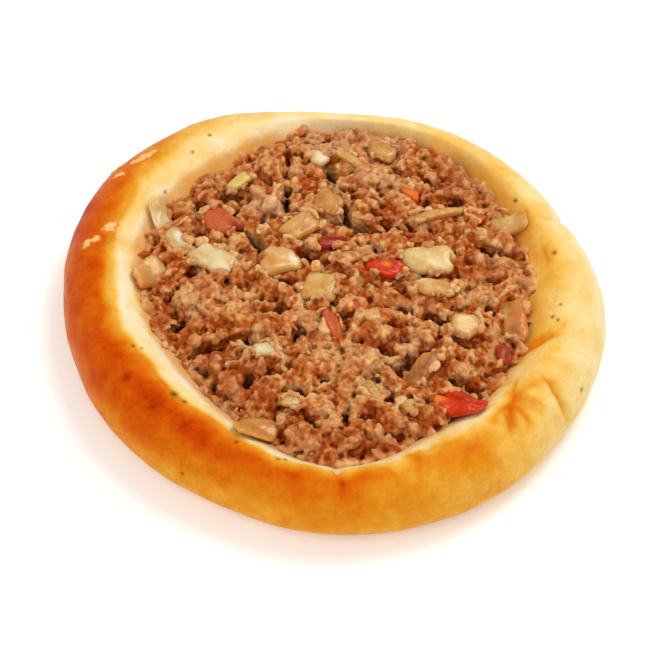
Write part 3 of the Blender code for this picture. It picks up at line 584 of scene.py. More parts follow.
def make_dough():
    grid, across = dough_rings()
    rings, segments = grid.shape[:2]
    flat = grid.reshape(-1, 3)
    x, y = flat[:, 0], flat[:, 1]
    radius, angle = polar(x, y)
    filling = on_spokes(FILLING_RADII, angle)
    raised = np.clip(flat[:, 2] / WIDEST_HEIGHT, 0, 1)
    shows = np.clip((radius - filling) / DENT_FADE, 0, 1)
    upper = np.clip((flat[:, 2] - 5) / 3, 0, 1)

    lift = PUFF_DEPTH * noise_at(flat, PUFF_SIZE)
    for fold_x, fold_y, length, direction, depth, half_width in FOLDS:
        lift -= depth * ridge(x, y, fold_x, fold_y, length, half_width, direction)
    creases = np.zeros_like(x)
    browned = np.zeros_like(x)
    wobble = 0.5 * flat_noise(x, y, 2.6, 3)
    for *place, length, half_width, direction, depth, brown in WRINKLES:
        line_x, line_y = x + wobble, y + wobble
        creases += depth * ridge(line_x, line_y, *place, length, half_width, direction) * upper
        browned += brown * ridge(line_x, line_y, *place, length, half_width * 2, direction) * upper
    lift -= creases
    lift += 0.16 * noise_at(flat, 5.5, 1) + 0.06 * noise_at(flat, 2.1, 2) + 0.022 * noise_at(flat, 0.9, 4)

    flake = np.zeros_like(x)
    for blister in BLISTERS:
        flake = np.maximum(flake, blob(x, y, *blister) * upper)
    crumple = np.abs(noise_at(flat, 1.1, 6)) * 2
    ragged = np.clip(flake * 1.7 - 0.35 + 0.7 * noise_at(flat, 1.0, 7), 0, 1)
    lift += ragged * (0.16 + 0.30 * crumple)

    speck = np.zeros_like(x)
    for spot_x, spot_y, size, depth in SPECKS:
        at = flat[np.argmin((x - spot_x) ** 2 + (y - spot_y) ** 2 + 9.0 * (upper < 0.5))]
        mark = np.exp(-((flat - at) ** 2).sum(axis=1) / size**2)
        speck = np.maximum(speck, mark)
        lift -= depth * mark

    grid = grid + grid_normals(grid) * (lift * raised * shows).reshape(rings, segments, 1)

    warp = 0.16 * noise_at(flat, 9.0, 8) + 0.08 * noise_at(flat, 3.6, 9)
    turned = angle + 0.10 * noise_at(flat, 14.0, 10)
    brown = browning_and_sheen_at(np.clip(across + warp, 0, 4), turned)
    for *patch, amount in PATCHES:
        brown += amount * blob(x + 2 * wobble, y, *patch) * upper
    brown += browned + 0.05 * noise_at(flat, 6.0, 11) + 0.03 * noise_at(flat, 2.4, 12)

    juice = np.zeros_like(x)
    reach = 1.5 + 1.1 * flat_noise(x, y, 4.0, 13)
    near = smooth(1 - (radius - filling - 1.2) / (reach + 2.2))
    for start, end, strength in JUICES:
        off = np.abs((np.degrees(angle) - (start + end) / 2 + 180) % 360 - 180)
        juice = np.maximum(juice, strength * near * smooth(((end - start) / 2 + 8 - off) / 12))

    count = rings * segments
    points = np.vstack([grid.reshape(-1, 3), (0, 0, FLOOR_THICKNESS), (0, 0, 0)])
    values = {
        "browning": np.append(brown, (0.3, 0.5)), "flake": np.append(ragged, (0, 0)),
        "speck": np.append(speck, (0, 0)), "juice": np.append(juice, (1, 0)),
    }
    caps = np.concatenate([cap(count - segments, segments, count), cap(0, segments, count + 1)[:, ::-1]])
    return mesh_object("crust", points, values, ring_quads(rings, segments), caps)


def crust_material():
    s = Shader(
        "crust", Subsurface_Weight=0.08, Subsurface_Scale=0.0014, Subsurface_Radius=(1.0, 0.55, 0.22),
        Specular_IOR_Level=0.3, Specular_Tint=(1.0, 0.7, 0.3, 1), IOR=1.2,
    )
    # Pale where the browning is low; on the left inner slope this paleness is partly a painted highlight.
    s.ramp(
        s.sum(s.read("browning"), s.stir(0.36, 4.5, 5, 0.65), s.stir(0.16, 0.9, 3, 0.6)),
        (0.0, 242, 231, 208), (0.17, 239, 211, 144), (0.36, 233, 181, 80), (0.56, 220, 142, 28),
        (0.74, 211, 101, 5), (0.90, 196, 66, 1), (1.0, 154, 42, 1),
    )
    flake = s.read("flake")
    ragged = s.sum(flake, s.stir(1.4, 0.5, 3, 0.7))
    juice = s.sum(s.read("juice"), s.stir(0.5, 1.6, 4, 0.6))
    s.paint(
        (s.between(juice, 0.3, 0.95), 0.7, 214, 142, 54),
        (s.between(flake, 0.0, 0.4), 0.5, 214, 104, 30),
        (s.between(ragged, 0.45, 0.95), 1.0, 242, 190, 116),
        (s.read("speck"), 0.9, 70, 40, 18),
    )
    s.bump((s.noise(2.2), 0.25, 0.25), (s.noise(0.55, 2), 0.18, 0.12))
    s.set("Roughness", s.between(s.noise(3.0), 0.3, 0.7, 0.34, 0.5))
    return s.material


# ---------------------------------------------------------------- the beef
LUMP_VOXEL = 0.5  # of the remesh that joins the lumps
VOXEL = 0.3  # of the remesh that joins the granules to them
CHUNK_SPACING = 2.4  # chunks that make up the lumps
CHUNK_RADIUS = (0.7, 1.8)
CHUNK_SEED = 21
GRAIN_SPACING = 1.0  # granules over all of the chunks
GRAIN_RADIUS = (0.3, 1.05)
GRAIN_SINK = 0.55  # share of a granule's radius that its centre is sunk
CLUMP_SIZE = 5.2
CREVICE_DEPTH = 0.9  # of the gaps between clumps
EDGE_SPACING = 0.7  # granules that cover the edges of the vegetable pieces
SPILLED = 900  # granules on the dough along the heap's edge
LOOSE_CRUMBS = 160
TOP_LIMIT = 18.75  # highest point of the meat
NO_PIECE = 99.0  # what piece_cover() gives where there is no piece
TRIANGLES = 392000  # of the heap, about
PARTS = 3  # meshes that share the heap's triangles
RIM_WIDTH = 6.0  # of the band along the heap's edge that has a colour of its own

# Narrow cracks: (x, y, length, width, direction, depth).
CRACKS = (
    (-28, 25, 3.4, 2, 30, 2), (-14, 10.2, 3.2, 1.8, 0, 1.8), (-7, 21.3, 4, 1.7, -30, 2.4),
    (16.2, 16.8, 4.4, 1.6, -50, 2.4), (21.5, 15.6, 9, 1, 0, 1.6), (-10, 2, 7.5, 1.1, 0, 1.8),
    (-9.7, 39, 6.5, 1.4, 90, 1.9), (-13.6, 42, 3, 1.4, 0, 1.4), (-7, 38, 3, 1.5, -30, 1.6),
    (19.5, 42, 3, 1.5, 0, 1.4), (8.7, 11, 3.2, 1.6, -50, 1.9), (36, 11.2, 4, 1.6, -20, 2), (7.5, 0, 3.2, 1.5, 0, 1.8),
    (16, 2.2, 5, 1.3, 0, 2.2), (22.5, 3.2, 9, 1, 2, 1.7), (-12, -22.2, 6.5, 1.4, 10, 2.1),
    (-20.5, -29.5, 4.5, 1.5, 5, 1.8), (-26.5, -20.5, 2.8, 3, 0, 1.8), (-24.5, -25, 2, 4, 0, 1.4),
    (-10, -37.5, 1.5, 4.2, 0, 1.8), (-3.7, -26, 1.4, 3.6, 0, 1.9), (-5.7, -28, 3.2, 1.3, 20, 1.7),
    (-4.5, -33.5, 1.5, 3.6, 30, 1.9), (1.7, -37, 3.2, 1.3, -40, 1.7), (-1.7, -24.3, 2.8, 1.7, 0, 1.9),
    (6.7, -32.5, 3.2, 1.5, 0, 1.9), (23.7, -31, 3, 1.5, 0, 1.8), (12, -36.8, 4.2, 1.8, -20, 1.9),
    (5.6, -40.5, 4.2, 1.4, 10, 1.5), (-26, -11, 5, 1.3, 25, 1.5), (-33, 4, 4, 1.3, -30, 1.4),
    (-20.5, 1, 5, 1.2, -35, 1.3), (-1, -3.8, 4.5, 1.3, -20, 1.6), (24.5, 9.5, 4.5, 1.3, 60, 1.6),
    (33, 2.5, 4, 1.3, 20, 1.5), (25, -4.6, 5, 1.2, 10, 1.5), (10.5, 26.5, 6, 1, -35, 1.2), (4.5, 33.5, 5, 1, 30, 1.2),
    (7, 36.5, 5, 1.2, -10, 1.5), (22, 36.5, 4, 1.3, 60, 1.5), (-20.5, 22.5, 5, 1.3, 70, 1.7),
    (-22, 33, 4, 1.3, -20, 1.4),
)
# Where the meat is redder or oilier, above 0, or paler and drier, below 0: (x, y, length, width, direction, amount).
WARM_PATCHES = (
    (25, 33, 14, 12, -45, 0.8), (22, 25, 12, 8, -20, 0.7), (-6, 31, 8, 7, 0, 0.5), (-20, 28, 10, 5, 0, 0.6),
    (-27, 29, 8, 8, 0, 0.6), (-12.5, 9.5, 7, 5, 0, 0.6), (30, 5, 13, 11, -40, 0.9), (28, -14, 13, 8, 0, 0.9),
    (24, -22, 10, 8, 0, 0.4), (-22, -22, 18, 16, 40, 0.9), (-12, -30, 14, 12, 0, 0.5), (-7, -37, 14, 9, 0, 0.6),
    (4, -39, 14, 7, 0, 0.8), (12, -36, 9, 8, 0, 0.6), (20, -32, 10, 9, 0, 0.9), (9, -3, 16, 9, 0, 0.5),
    (-35, -6, 8, 22, 20, 0.5), (18, -4, 8, 6, 0, 0.5), (9, 30, 16, 14, 0, -0.5), (11, 42, 14, 10, 0, -0.75),
    (-14, 24, 12, 12, 0, -0.8), (-3, 41, 12, 8, 0, -0.6), (-26, -3, 20, 16, -20, -0.4), (7, -20, 16, 12, -30, -0.4),
    (27, -19, 12, 7, -40, -0.5), (-13, -16, 10, 7, 0, -0.4), (34, 14, 10, 8, 0, -0.4),
)


def fillers():
    """Smaller lumps on a sunflower spiral, in the same terms as LUMPS."""
    draw = random.Random(11)
    for index in range(FILLERS):
        angle = index * GOLDEN_ANGLE
        size = draw.uniform(*FILLER_RADIUS)
        reach = float(on_spokes(FILLING_RADII, angle)) - FILLER_INSET * size
        radius = reach * math.sqrt((index + 0.5) / FILLERS)
        length, width = 2 * size * FILLER_STRETCH, 2 * size / FILLER_STRETCH
        place = (radius * math.cos(angle), radius * math.sin(angle))
        yield *place, length, width, draw.uniform(0, 180), draw.uniform(*FILLER_LIFT)


def hollow_depth(x, y, wide=1.0):
    deepest = np.zeros_like(x)
    for hole_x, hole_y, length, width, direction, depth in HOLLOWS + CRACKS:
        along, across = along_across(x, y, hole_x, hole_y, direction)
        reach = np.exp(-((2 * along / length) ** 4) - (2 * across / (width * wide)) ** 4)
        deepest = np.maximum(deepest, depth * reach)
    return deepest


def crevices(x, y):
    """Depth of the narrow gaps between clumps of meat."""
    bent_x = x + 1.1 * flat_noise(x, y, 3.0, 91)
    bent_y = y + 1.1 * flat_noise(x, y, 3.0, 92)
    places = np.column_stack([bent_x, bent_y, np.zeros_like(x)]) / CLUMP_SIZE
    nearest = (noise.voronoi(place)[0] for place in places.tolist())
    gap = np.array([distances[1] - distances[0] for distances in nearest])
    opened = smooth((flat_noise(x, y, 6.0, 93) + 0.12) / 0.4)
    return CREVICE_DEPTH * (1 - smooth(gap / 0.24)) * opened


def piece_cover(x, y, grow):
    """Lowest underside of the vegetable pieces over each point, or NO_PIECE."""
    lowest = np.full_like(x, NO_PIECE)
    for px, py, length, width, thickness, direction, *_ in (*ONIONS, *TOMATOES, *ONION_BITS, *TOMATO_BITS):
        along, across = along_across(x, y, px, py, direction)
        inside = np.abs(along / (length / 2 + grow)) ** 3 + np.abs(across / (width / 2 + grow)) ** 3 < 1
        under = float(heap_height(*polar(px, py))) + PIECE_PROUD - thickness - 0.3
        lowest = np.where(inside, np.minimum(lowest, under), lowest)
    return lowest


def beef_height(x, y):
    """Height of the beef's surface, with its lumps and hollows."""
    radius, angle = polar(x, y)
    envelope = heap_height(radius, angle)
    height = envelope - CORE_SINK
    bent_x = x + 0.9 * flat_noise(x, y, 3.2, 61) + 0.5 * flat_noise(x, y, 1.4, 62)
    bent_y = y + 0.9 * flat_noise(x, y, 3.2, 63) + 0.5 * flat_noise(x, y, 1.4, 64)
    for lump_x, lump_y, length, width, direction, lift in (*LUMPS, *fillers()):
        along, across = along_across(bent_x, bent_y, lump_x, lump_y, direction)
        away = np.hypot(2 * along / length, 2 * across / width)
        tall = 1.3 * LUMP_HEIGHT * (length + width) / 4
        rise = tall * np.sqrt(np.clip(1 - away**2, 0, 1))
        height = np.maximum(height, envelope - tall + rise + lift - 0.3)
    height = height + GRAIN_DEPTH * flat_noise(x, y, GRAIN_SIZE)
    height -= 1.7 * hollow_depth((bent_x + x) / 2, (bent_y + y) / 2) + crevices(x, y)
    return np.minimum(height, piece_cover(x, y, -0.5 + 0.6 * flat_noise(x, y, 1.6, 65)))


def lattice(outline_radii, spacing, jitter=0.0, seed=1):
    """Points of a triangular lattice inside an outline that is given on spokes."""
    draw = np.random.default_rng(seed)
    row_step = spacing * math.sqrt(0.75)
    rows = int(max(outline_radii) / row_step) + 2
    row, column = np.meshgrid(np.arange(-rows, rows + 1), np.arange(-rows - 2, rows + 3), indexing="ij")
    points = np.stack([(column + 0.5 * (row % 2)) * spacing, row * row_step], -1).reshape(-1, 2)
    points += draw.uniform(-jitter, jitter, points.shape) * spacing
    radius, angle = polar(points[:, 0], points[:, 1])
    return points[radius < on_spokes(outline_radii, angle)]


def random_turns(count, draw):
    """Random rotation matrices."""
    q = draw.normal(size=(count, 4))
    q /= np.linalg.norm(q, axis=1, keepdims=True)
    w, x, y, z = q.T
    return np.stack([
        np.stack([1 - 2 * (y * y + z * z), 2 * (x * y - z * w), 2 * (x * z + y * w)], -1),
        np.stack([2 * (x * y + z * w), 1 - 2 * (x * x + z * z), 2 * (y * z - x * w)], -1),
        np.stack([2 * (x * z - y * w), 2 * (y * z + x * w), 1 - 2 * (x * x + y * y)], -1),
    ], 1)


def chunk_cloud(centres, sizes, stretch, roughness, subdivisions, seed):
    """One mesh of many rough chunks of beef."""
    ball, faces = unit_ball(subdivisions)
    draw = np.random.default_rng(seed)
    count = len(centres)
    offsets = draw.uniform(-50, 50, (count, 1, 3))
    form = noise_at((ball[None] * 1.1 + offsets).reshape(-1, 3), 1.0)
    form += 0.5 * noise_at((ball[None] * 2.6 + offsets).reshape(-1, 3), 1.0)
    scales = sizes[:, None] * draw.uniform(1 / stretch, stretch, (count, 3))
    shaped = ball[None] * (1 + roughness * form.reshape(count, -1))[:, :, None] * scales[:, None, :]
    turned = np.einsum("nij,nkj->nki", random_turns(count, draw), shaped)
    points = turned + centres[:, None, :]
    all_faces = (faces[None] + (np.arange(count) * len(ball))[:, None, None]).reshape(-1, 3)
    return points.reshape(-1, 3), all_faces


def core():
    """Closed mesh of the heap under its chunks."""
    outline_radii = np.array(FILLING_RADII) - HEAP_INSET
    steps = 360
    around = np.linspace(0, 2 * math.pi, steps, endpoint=False)
    edge = on_spokes(outline_radii, around)[:, None] * np.stack([np.cos(around), np.sin(around)], -1)
    plan = [Vector(p) for p in [*edge, *lattice(outline_radii - 0.5, 0.7)]]
    plan, _, triangles, *_ = geometry.delaunay_2d_cdt(plan, [], [list(range(steps))], 1, 1e-6)
    flat = np.array([tuple(p) for p in plan])
    radius, angle = polar(flat[:, 0], flat[:, 1])
    bottom = recess_height(radius, angle) + DOUGH_GAP
    top = np.maximum(beef_height(flat[:, 0], flat[:, 1]) - 0.15, bottom + 0.7)
    count = len(flat)
    points = np.vstack([np.column_stack([flat, top]), np.column_stack([flat, bottom])])
    triangles = np.array(triangles)
    j = np.arange(steps)
    k = (j + 1) % steps
    wall = np.concatenate([np.stack([k, j, count + j], -1), np.stack([k, count + j, count + k], -1)])
    return points, np.concatenate([triangles, triangles[:, ::-1] + count, wall])


def modified(mesh, kind, group=None, **settings):
    """The mesh after one modifier, as triangles."""
    temporary = bpy.data.objects.new("temporary", mesh)
    bpy.context.scene.collection.objects.link(temporary)
    if group is not None:
        temporary.vertex_groups.new(name="chosen").add([int(i) for i in group], 1.0, "REPLACE")
    modifier = temporary.modifiers.new(kind.lower(), kind)
    for key, value in settings.items():
        setattr(modifier, key, value)
    graph = bpy.context.evaluated_depsgraph_get()
    result = bpy.data.meshes.new_from_object(temporary.evaluated_get(graph))
    bpy.data.objects.remove(temporary)
    shape = bmesh.new()
    shape.from_mesh(result)
    bmesh.ops.triangulate(shape, faces=shape.faces)
    shape.to_mesh(result)
    shape.free()
    return result


def fused(points, faces, voxel):
    """One skin round closed shapes that overlap."""
    return modified(raw_mesh("shapes", points, faces), "REMESH", mode="VOXEL", voxel_size=voxel)


def near_rim(x, y):
    """From 0, well inside the heap, to 1 at its edge."""
    radius, angle = polar(x, y)
    return smooth((radius - on_spokes(FILLING_RADII, angle)) / RIM_WIDTH + 1)


def chunks():
    """Chunks of meat spread over the heap: their points and faces."""
    draw = np.random.default_rng(CHUNK_SEED)
    low, high = CHUNK_RADIUS
    places = lattice(np.array(FILLING_RADII) - 0.4 * high, CHUNK_SPACING, 0.45, CHUNK_SEED)
    x, y = places[draw.uniform(0, 1, len(places)) < 0.85].T
    sizes = draw.uniform(0, 1, len(x)) ** 1.6 * (high - low) + low
    sizes *= 1 - 0.6 * np.clip(hollow_depth(x, y) / 2 + crevices(x, y), 0, 1)
    under_piece = piece_cover(x, y, 0.25 * high) < NO_PIECE
    height = beef_height(x, y) - 0.6 * sizes
    height[under_piece] -= sizes[under_piece]
    height = np.maximum(height, recess_height(*polar(x, y)) + 0.6 * sizes + 0.3)
    return chunk_cloud(np.column_stack([x, y, height]), sizes, 1.4, 0.35, 3, CHUNK_SEED + 1)


def spread(points, spacing, draw):
    """Indices of points that are about one spacing apart."""
    order = draw.permutation(len(points))
    _, first = np.unique(np.floor(points[order] / spacing).astype(int), axis=0, return_index=True)
    return order[first]


def edge_grains(draw):
    """Centres and sizes of granules that lie along the edges of the vegetable pieces."""
    centres, sizes = [], []
    for _, _, row, _, seed, groove, fine in pieces():
        points, _, _, edge = slab(*row, seed, groove, fine)
        loop = points[edge > 0.9999]
        loop = loop[spread(loop, EDGE_SPACING, draw)]
        size = draw.uniform(0.25, 0.85, len(loop))
        covered = flat_noise(loop[:, 0], loop[:, 1], 2.6, seed) > 0.02
        outward = loop[:, :2] - loop[:, :2].mean(axis=0)
        outward /= np.linalg.norm(outward, axis=1, keepdims=True)
        loop[:, :2] += outward * (size * draw.uniform(0, 0.6, len(loop)))[:, None]
        loop[:, 2] += row[4] / 2 - size * draw.uniform(0.2, 1, len(loop))
        radius, angle = polar(loop[:, 0], loop[:, 1])
        covered &= radius < on_spokes(FILLING_RADII, angle) - 0.8
        centres.append(loop[covered])
        sizes.append(size[covered])
    return np.vstack(centres), np.concatenate(sizes)


def spilled_grains(draw):
    """Centres and sizes of granules that lie on the dough along the heap's edge."""
    angle = draw.uniform(0, 2 * math.pi, SPILLED)
    size = draw.uniform(0.4, 1.1, SPILLED)
    reach = 1.2 * noise_at(np.column_stack([np.cos(angle), np.sin(angle), 0 * angle]) * 8, 1.0, 77)
    radius = on_spokes(FILLING_RADII, angle) + draw.uniform(-2.2, 0.5, SPILLED) + reach
    height = recess_height(radius, angle) + 0.55 * size
    centres = np.column_stack([radius * np.cos(angle), radius * np.sin(angle), height])
    free = piece_cover(centres[:, 0], centres[:, 1], 0.5) == NO_PIECE
    return centres[free], size[free]


def make_beef():
    """The heap's meshes, each with a share of its faces."""
    draw = np.random.default_rng(5)
    base, base_faces = core()
    coarse, coarse_faces = chunks()
    points, faces = np.vstack([base, coarse]), np.concatenate([base_faces, coarse_faces + len(base)])
    lumps = fused(points, faces, LUMP_VOXEL)
    at = read(lumps.vertices, "co")
    x, y, _ = at.T
    floor = recess_height(*polar(x, y))
    wobble = 0.6 * flat_noise(x, y, 1.6, 71)
    carved = hollow_depth(x + wobble, y - wobble, 0.9) + crevices(x, y)
    at[:, 2] -= carved * smooth((at[:, 2] - floor - 1) / 1.5)
    lumps.vertices.foreach_set("co", at.ravel())
    lumps.update()
    points, out = points_and_normals(lumps)
    faces = read(lumps.polygons, "vertices", kind=np.int32)
    shown = (at[:, 2] > floor + DOUGH_GAP + 0.4) & (out[:, 2] > -0.5)
    at, out = at[shown], out[shown]
    chosen = spread(at, GRAIN_SPACING, draw)
    low, high = GRAIN_RADIUS
    sizes = low + (high - low) * draw.uniform(0, 1, len(chosen)) ** 1.8
    sizes *= 1 - 0.45 * np.clip(carved[shown][chosen], 0, 1)
    centres = at[chosen] - out[chosen] * (GRAIN_SINK * sizes)[:, None]
    centres[:, 2] = np.minimum(centres[:, 2], piece_cover(centres[:, 0], centres[:, 1], 0.2) - sizes)
    for more_centres, more_sizes in (edge_grains(draw), spilled_grains(draw)):
        centres, sizes = np.vstack([centres, more_centres]), np.concatenate([sizes, more_sizes])
    grains, grain_faces = chunk_cloud(centres, sizes, 1.9, 0.6, 2, 31)
    points, faces = np.vstack([points, grains]), np.concatenate([faces, grain_faces + len(points)])
    whole = fused(points, faces, VOXEL)

    points, normals = points_and_normals(whole)
    floor = recess_height(*polar(points[:, 0], points[:, 1]))
    hidden = np.nonzero((points[:, 2] < floor + DOUGH_GAP + 0.5) & (normals[:, 2] < -0.3))[0]
    ratio = max(TRIANGLES / len(whole.polygons), 0.3)
    if ratio < 1:
        whole = modified(whole, "DECIMATE", hidden, vertex_group="chosen", ratio=ratio)
    points, normals = points_and_normals(whole)
    edges = read(whole.edges, "vertices", 2, np.int32)
    upper = smooth(points[:, 2] - recess_height(*polar(points[:, 0], points[:, 1])) - 1)
    points = average_neighbours(points, edges, 2, 0.5)
    rough = 0.25 * noise_at(points, 2.6, 31) + 0.2 * noise_at(points, 0.8, 33)
    points = points + normals * (rough * upper)[:, None]
    high = points[:, 2] - TOP_LIMIT
    points[:, 2] = np.where(high > -0.5, TOP_LIMIT - 0.5 + 0.5 * np.tanh((high + 0.5) / 0.5), points[:, 2])

    tree = kdtree.KDTree(len(centres))
    for index, centre in enumerate(centres.tolist()):
        tree.insert(centre, index)
    tree.balance()
    shade = draw.uniform(0, 1, len(centres))
    tone, crack = np.empty(len(points)), np.empty(len(points))
    for index, point in enumerate(points.tolist()):
        (_, nearest, first), (_, _, second) = tree.find_n(point, 2)
        tone[index] = shade[nearest]
        crack[index] = second - first

    smoothed = average_neighbours(points, edges, 6, 0.7)
    wide = average_neighbours(smoothed, edges, 60, 0.7)
    x, y, _ = points.T
    warm = np.zeros(len(points))
    for *patch, amount in WARM_PATCHES:
        warm += amount * blob(x, y, *patch)
    values = {
        # cavity, deep, crack and gap measure the shape; beef_material paints shade into the hollows and highlight
        # onto the crests from them.
        "cavity": np.einsum("ij,ij->i", smoothed - points, normals) / 0.3,
        "deep": np.einsum("ij,ij->i", wide - points, normals),
        "tone": tone, "crack": 1 - smooth(crack / 0.4), "warm": warm,
        "gap": hollow_depth(x, y) / 2.5 + 0.7 * crevices(x, y),
        "rim": near_rim(x, y),
    }

    triangles = read(whole.polygons, "vertices", kind=np.int32)
    bpy.data.meshes.remove(whole)
    order = np.argsort(points[triangles, 0].mean(axis=1), kind="stable")
    made = []
    for number, part in enumerate(np.array_split(order, PARTS), start=1):
        used, faces = np.unique(triangles[part], return_inverse=True)
        some = {key: value[used] for key, value in values.items()}
        made.append(mesh_object(f"beef_heap_{number}", points[used], some, faces.reshape(-1, 3)))
    return made


def make_loose_crumbs():
    """Crumbs that lie on the heap and round its edge."""
    draw = np.random.default_rng(9)
    share = np.sqrt(draw.uniform(0, 1, LOOSE_CRUMBS))
    share[: LOOSE_CRUMBS // 2] = draw.uniform(0.94, 1.015, LOOSE_CRUMBS // 2)
    angle = draw.uniform(0, 2 * math.pi, LOOSE_CRUMBS)
    radius = share * on_spokes(FILLING_RADII, angle)
    x, y = radius * np.cos(angle), radius * np.sin(angle)
    free = piece_cover(x, y, 0.5) == NO_PIECE
    x, y, radius, angle = x[free], y[free], radius[free], angle[free]
    sizes = draw.uniform(0.3, 0.9, len(x))
    height = np.maximum(beef_height(x, y) + 0.1 * sizes, recess_height(radius, angle) + sizes * 0.6 + 0.05)
    height = np.minimum(height, TOP_LIMIT - sizes)
    points, faces = chunk_cloud(np.column_stack([x, y, height]), sizes, 1.8, 0.75, 3, 41)
    values = {"tone": draw.uniform(0, 1, len(x)), "warm": np.full(len(x), 0.3), "rim": near_rim(x, y)}
    values = {key: np.repeat(numbers, len(points) // len(x)) for key, numbers in values.items()}
    values.update({key: np.zeros(len(points)) for key in ("cavity", "deep", "crack", "gap")})
    return mesh_object("beef_crumbs", points, values, faces)


def beef_material():
    s = Shader(
        "beef", Subsurface_Weight=0.05, Subsurface_Scale=0.0006, Subsurface_Radius=(1.0, 0.45, 0.25),
        Specular_Tint=(1.0, 0.56, 0.26, 1),
    )
    deep, cavity, tone = s.read("deep"), s.read("cavity"), s.read("tone")
    # Crests are paler: partly the drier meat there, partly painted highlight.
    dry_crest_and_highlight = s.between(cavity, 0.5, -0.6)
    s.ramp(
        s.sum(
            s.times(s.noise(4.5, 3, 0.6), 0.8), s.times(tone, 0.11), s.times(s.noise(0.7, 4, 0.7), 0.16),
            s.times(dry_crest_and_highlight, 0.15), -0.075,
        ),
        (0.34, 134, 48, 8), (0.44, 176, 82, 24), (0.54, 206, 124, 54), (0.65, 228, 164, 96), (0.80, 248, 204, 146),
    )
    hue = s.sum(s.times(s.noise(4.0), 0.5), s.times(s.noise(9.0, 2), 0.5), s.times(tone, 0.1), -0.05)
    warm = s.sum(s.read("warm"), s.stir(1.2, 5.0, 3, 0.6))
    s.paint(
        (s.between(hue, 0.50, 0.40), 0.6, 180, 76, 22),
        (s.between(hue, 0.49, 0.60), 0.6, 220, 176, 120),
        (s.between(s.noise(2.2), 0.52, 0.7), 0.22, 188, 96, 52),
        (s.between(warm, 0.1, 0.8), 0.5, 166, 70, 18),
        (s.between(warm, -0.1, -0.8), 0.55, 230, 186, 136),
        (s.read("rim"), 0.25, 168, 84, 30),
        # Painted shade: dark lines where the granules meet.
        (s.read("crack"), 0.32, 130, 46, 8),
        # Painted shade in the hollows between the granules.
        (s.between(cavity, 0.0, 0.7), 0.7, 104, 32, 4),
        # Painted shade in the hollows and in the crevices between the clumps.
        (s.between(s.read("gap"), 0.3, 1.0), 0.5, 84, 26, 5),
        # Painted shade, nearly black, in the deep hollows of the heap.
        (s.between(deep, 0.05, 1.0), 0.94, 44, 10, 2),
        # Painted highlight, partly the drier meat: paler on the tops of the lumps and on the crests of the granules.
        (s.between(deep, -0.1, -0.9), 0.35, 242, 200, 142),
        (s.between(cavity, -0.2, -0.9), 0.15, 236, 196, 140),
    )
    s.bump((s.noise(1.0, 3, 0.6), 0.3, 0.18), (s.noise(0.45, 3, 0.7), 0.8, 0.15))
    s.set("Roughness", s.between(s.noise(1.4), 0.35, 0.7, 0.32, 0.62))
    s.set("Specular IOR Level", s.between(deep, 0.5, -0.4, 0.05, 0.4))
    return s.material


# ---------------------------------------------------------------- onion and tomato
PIECE_RINGS = 15
PIECE_SEGMENTS = 72
OUTLINE_POWER = 6  # how sharp a piece's corners are


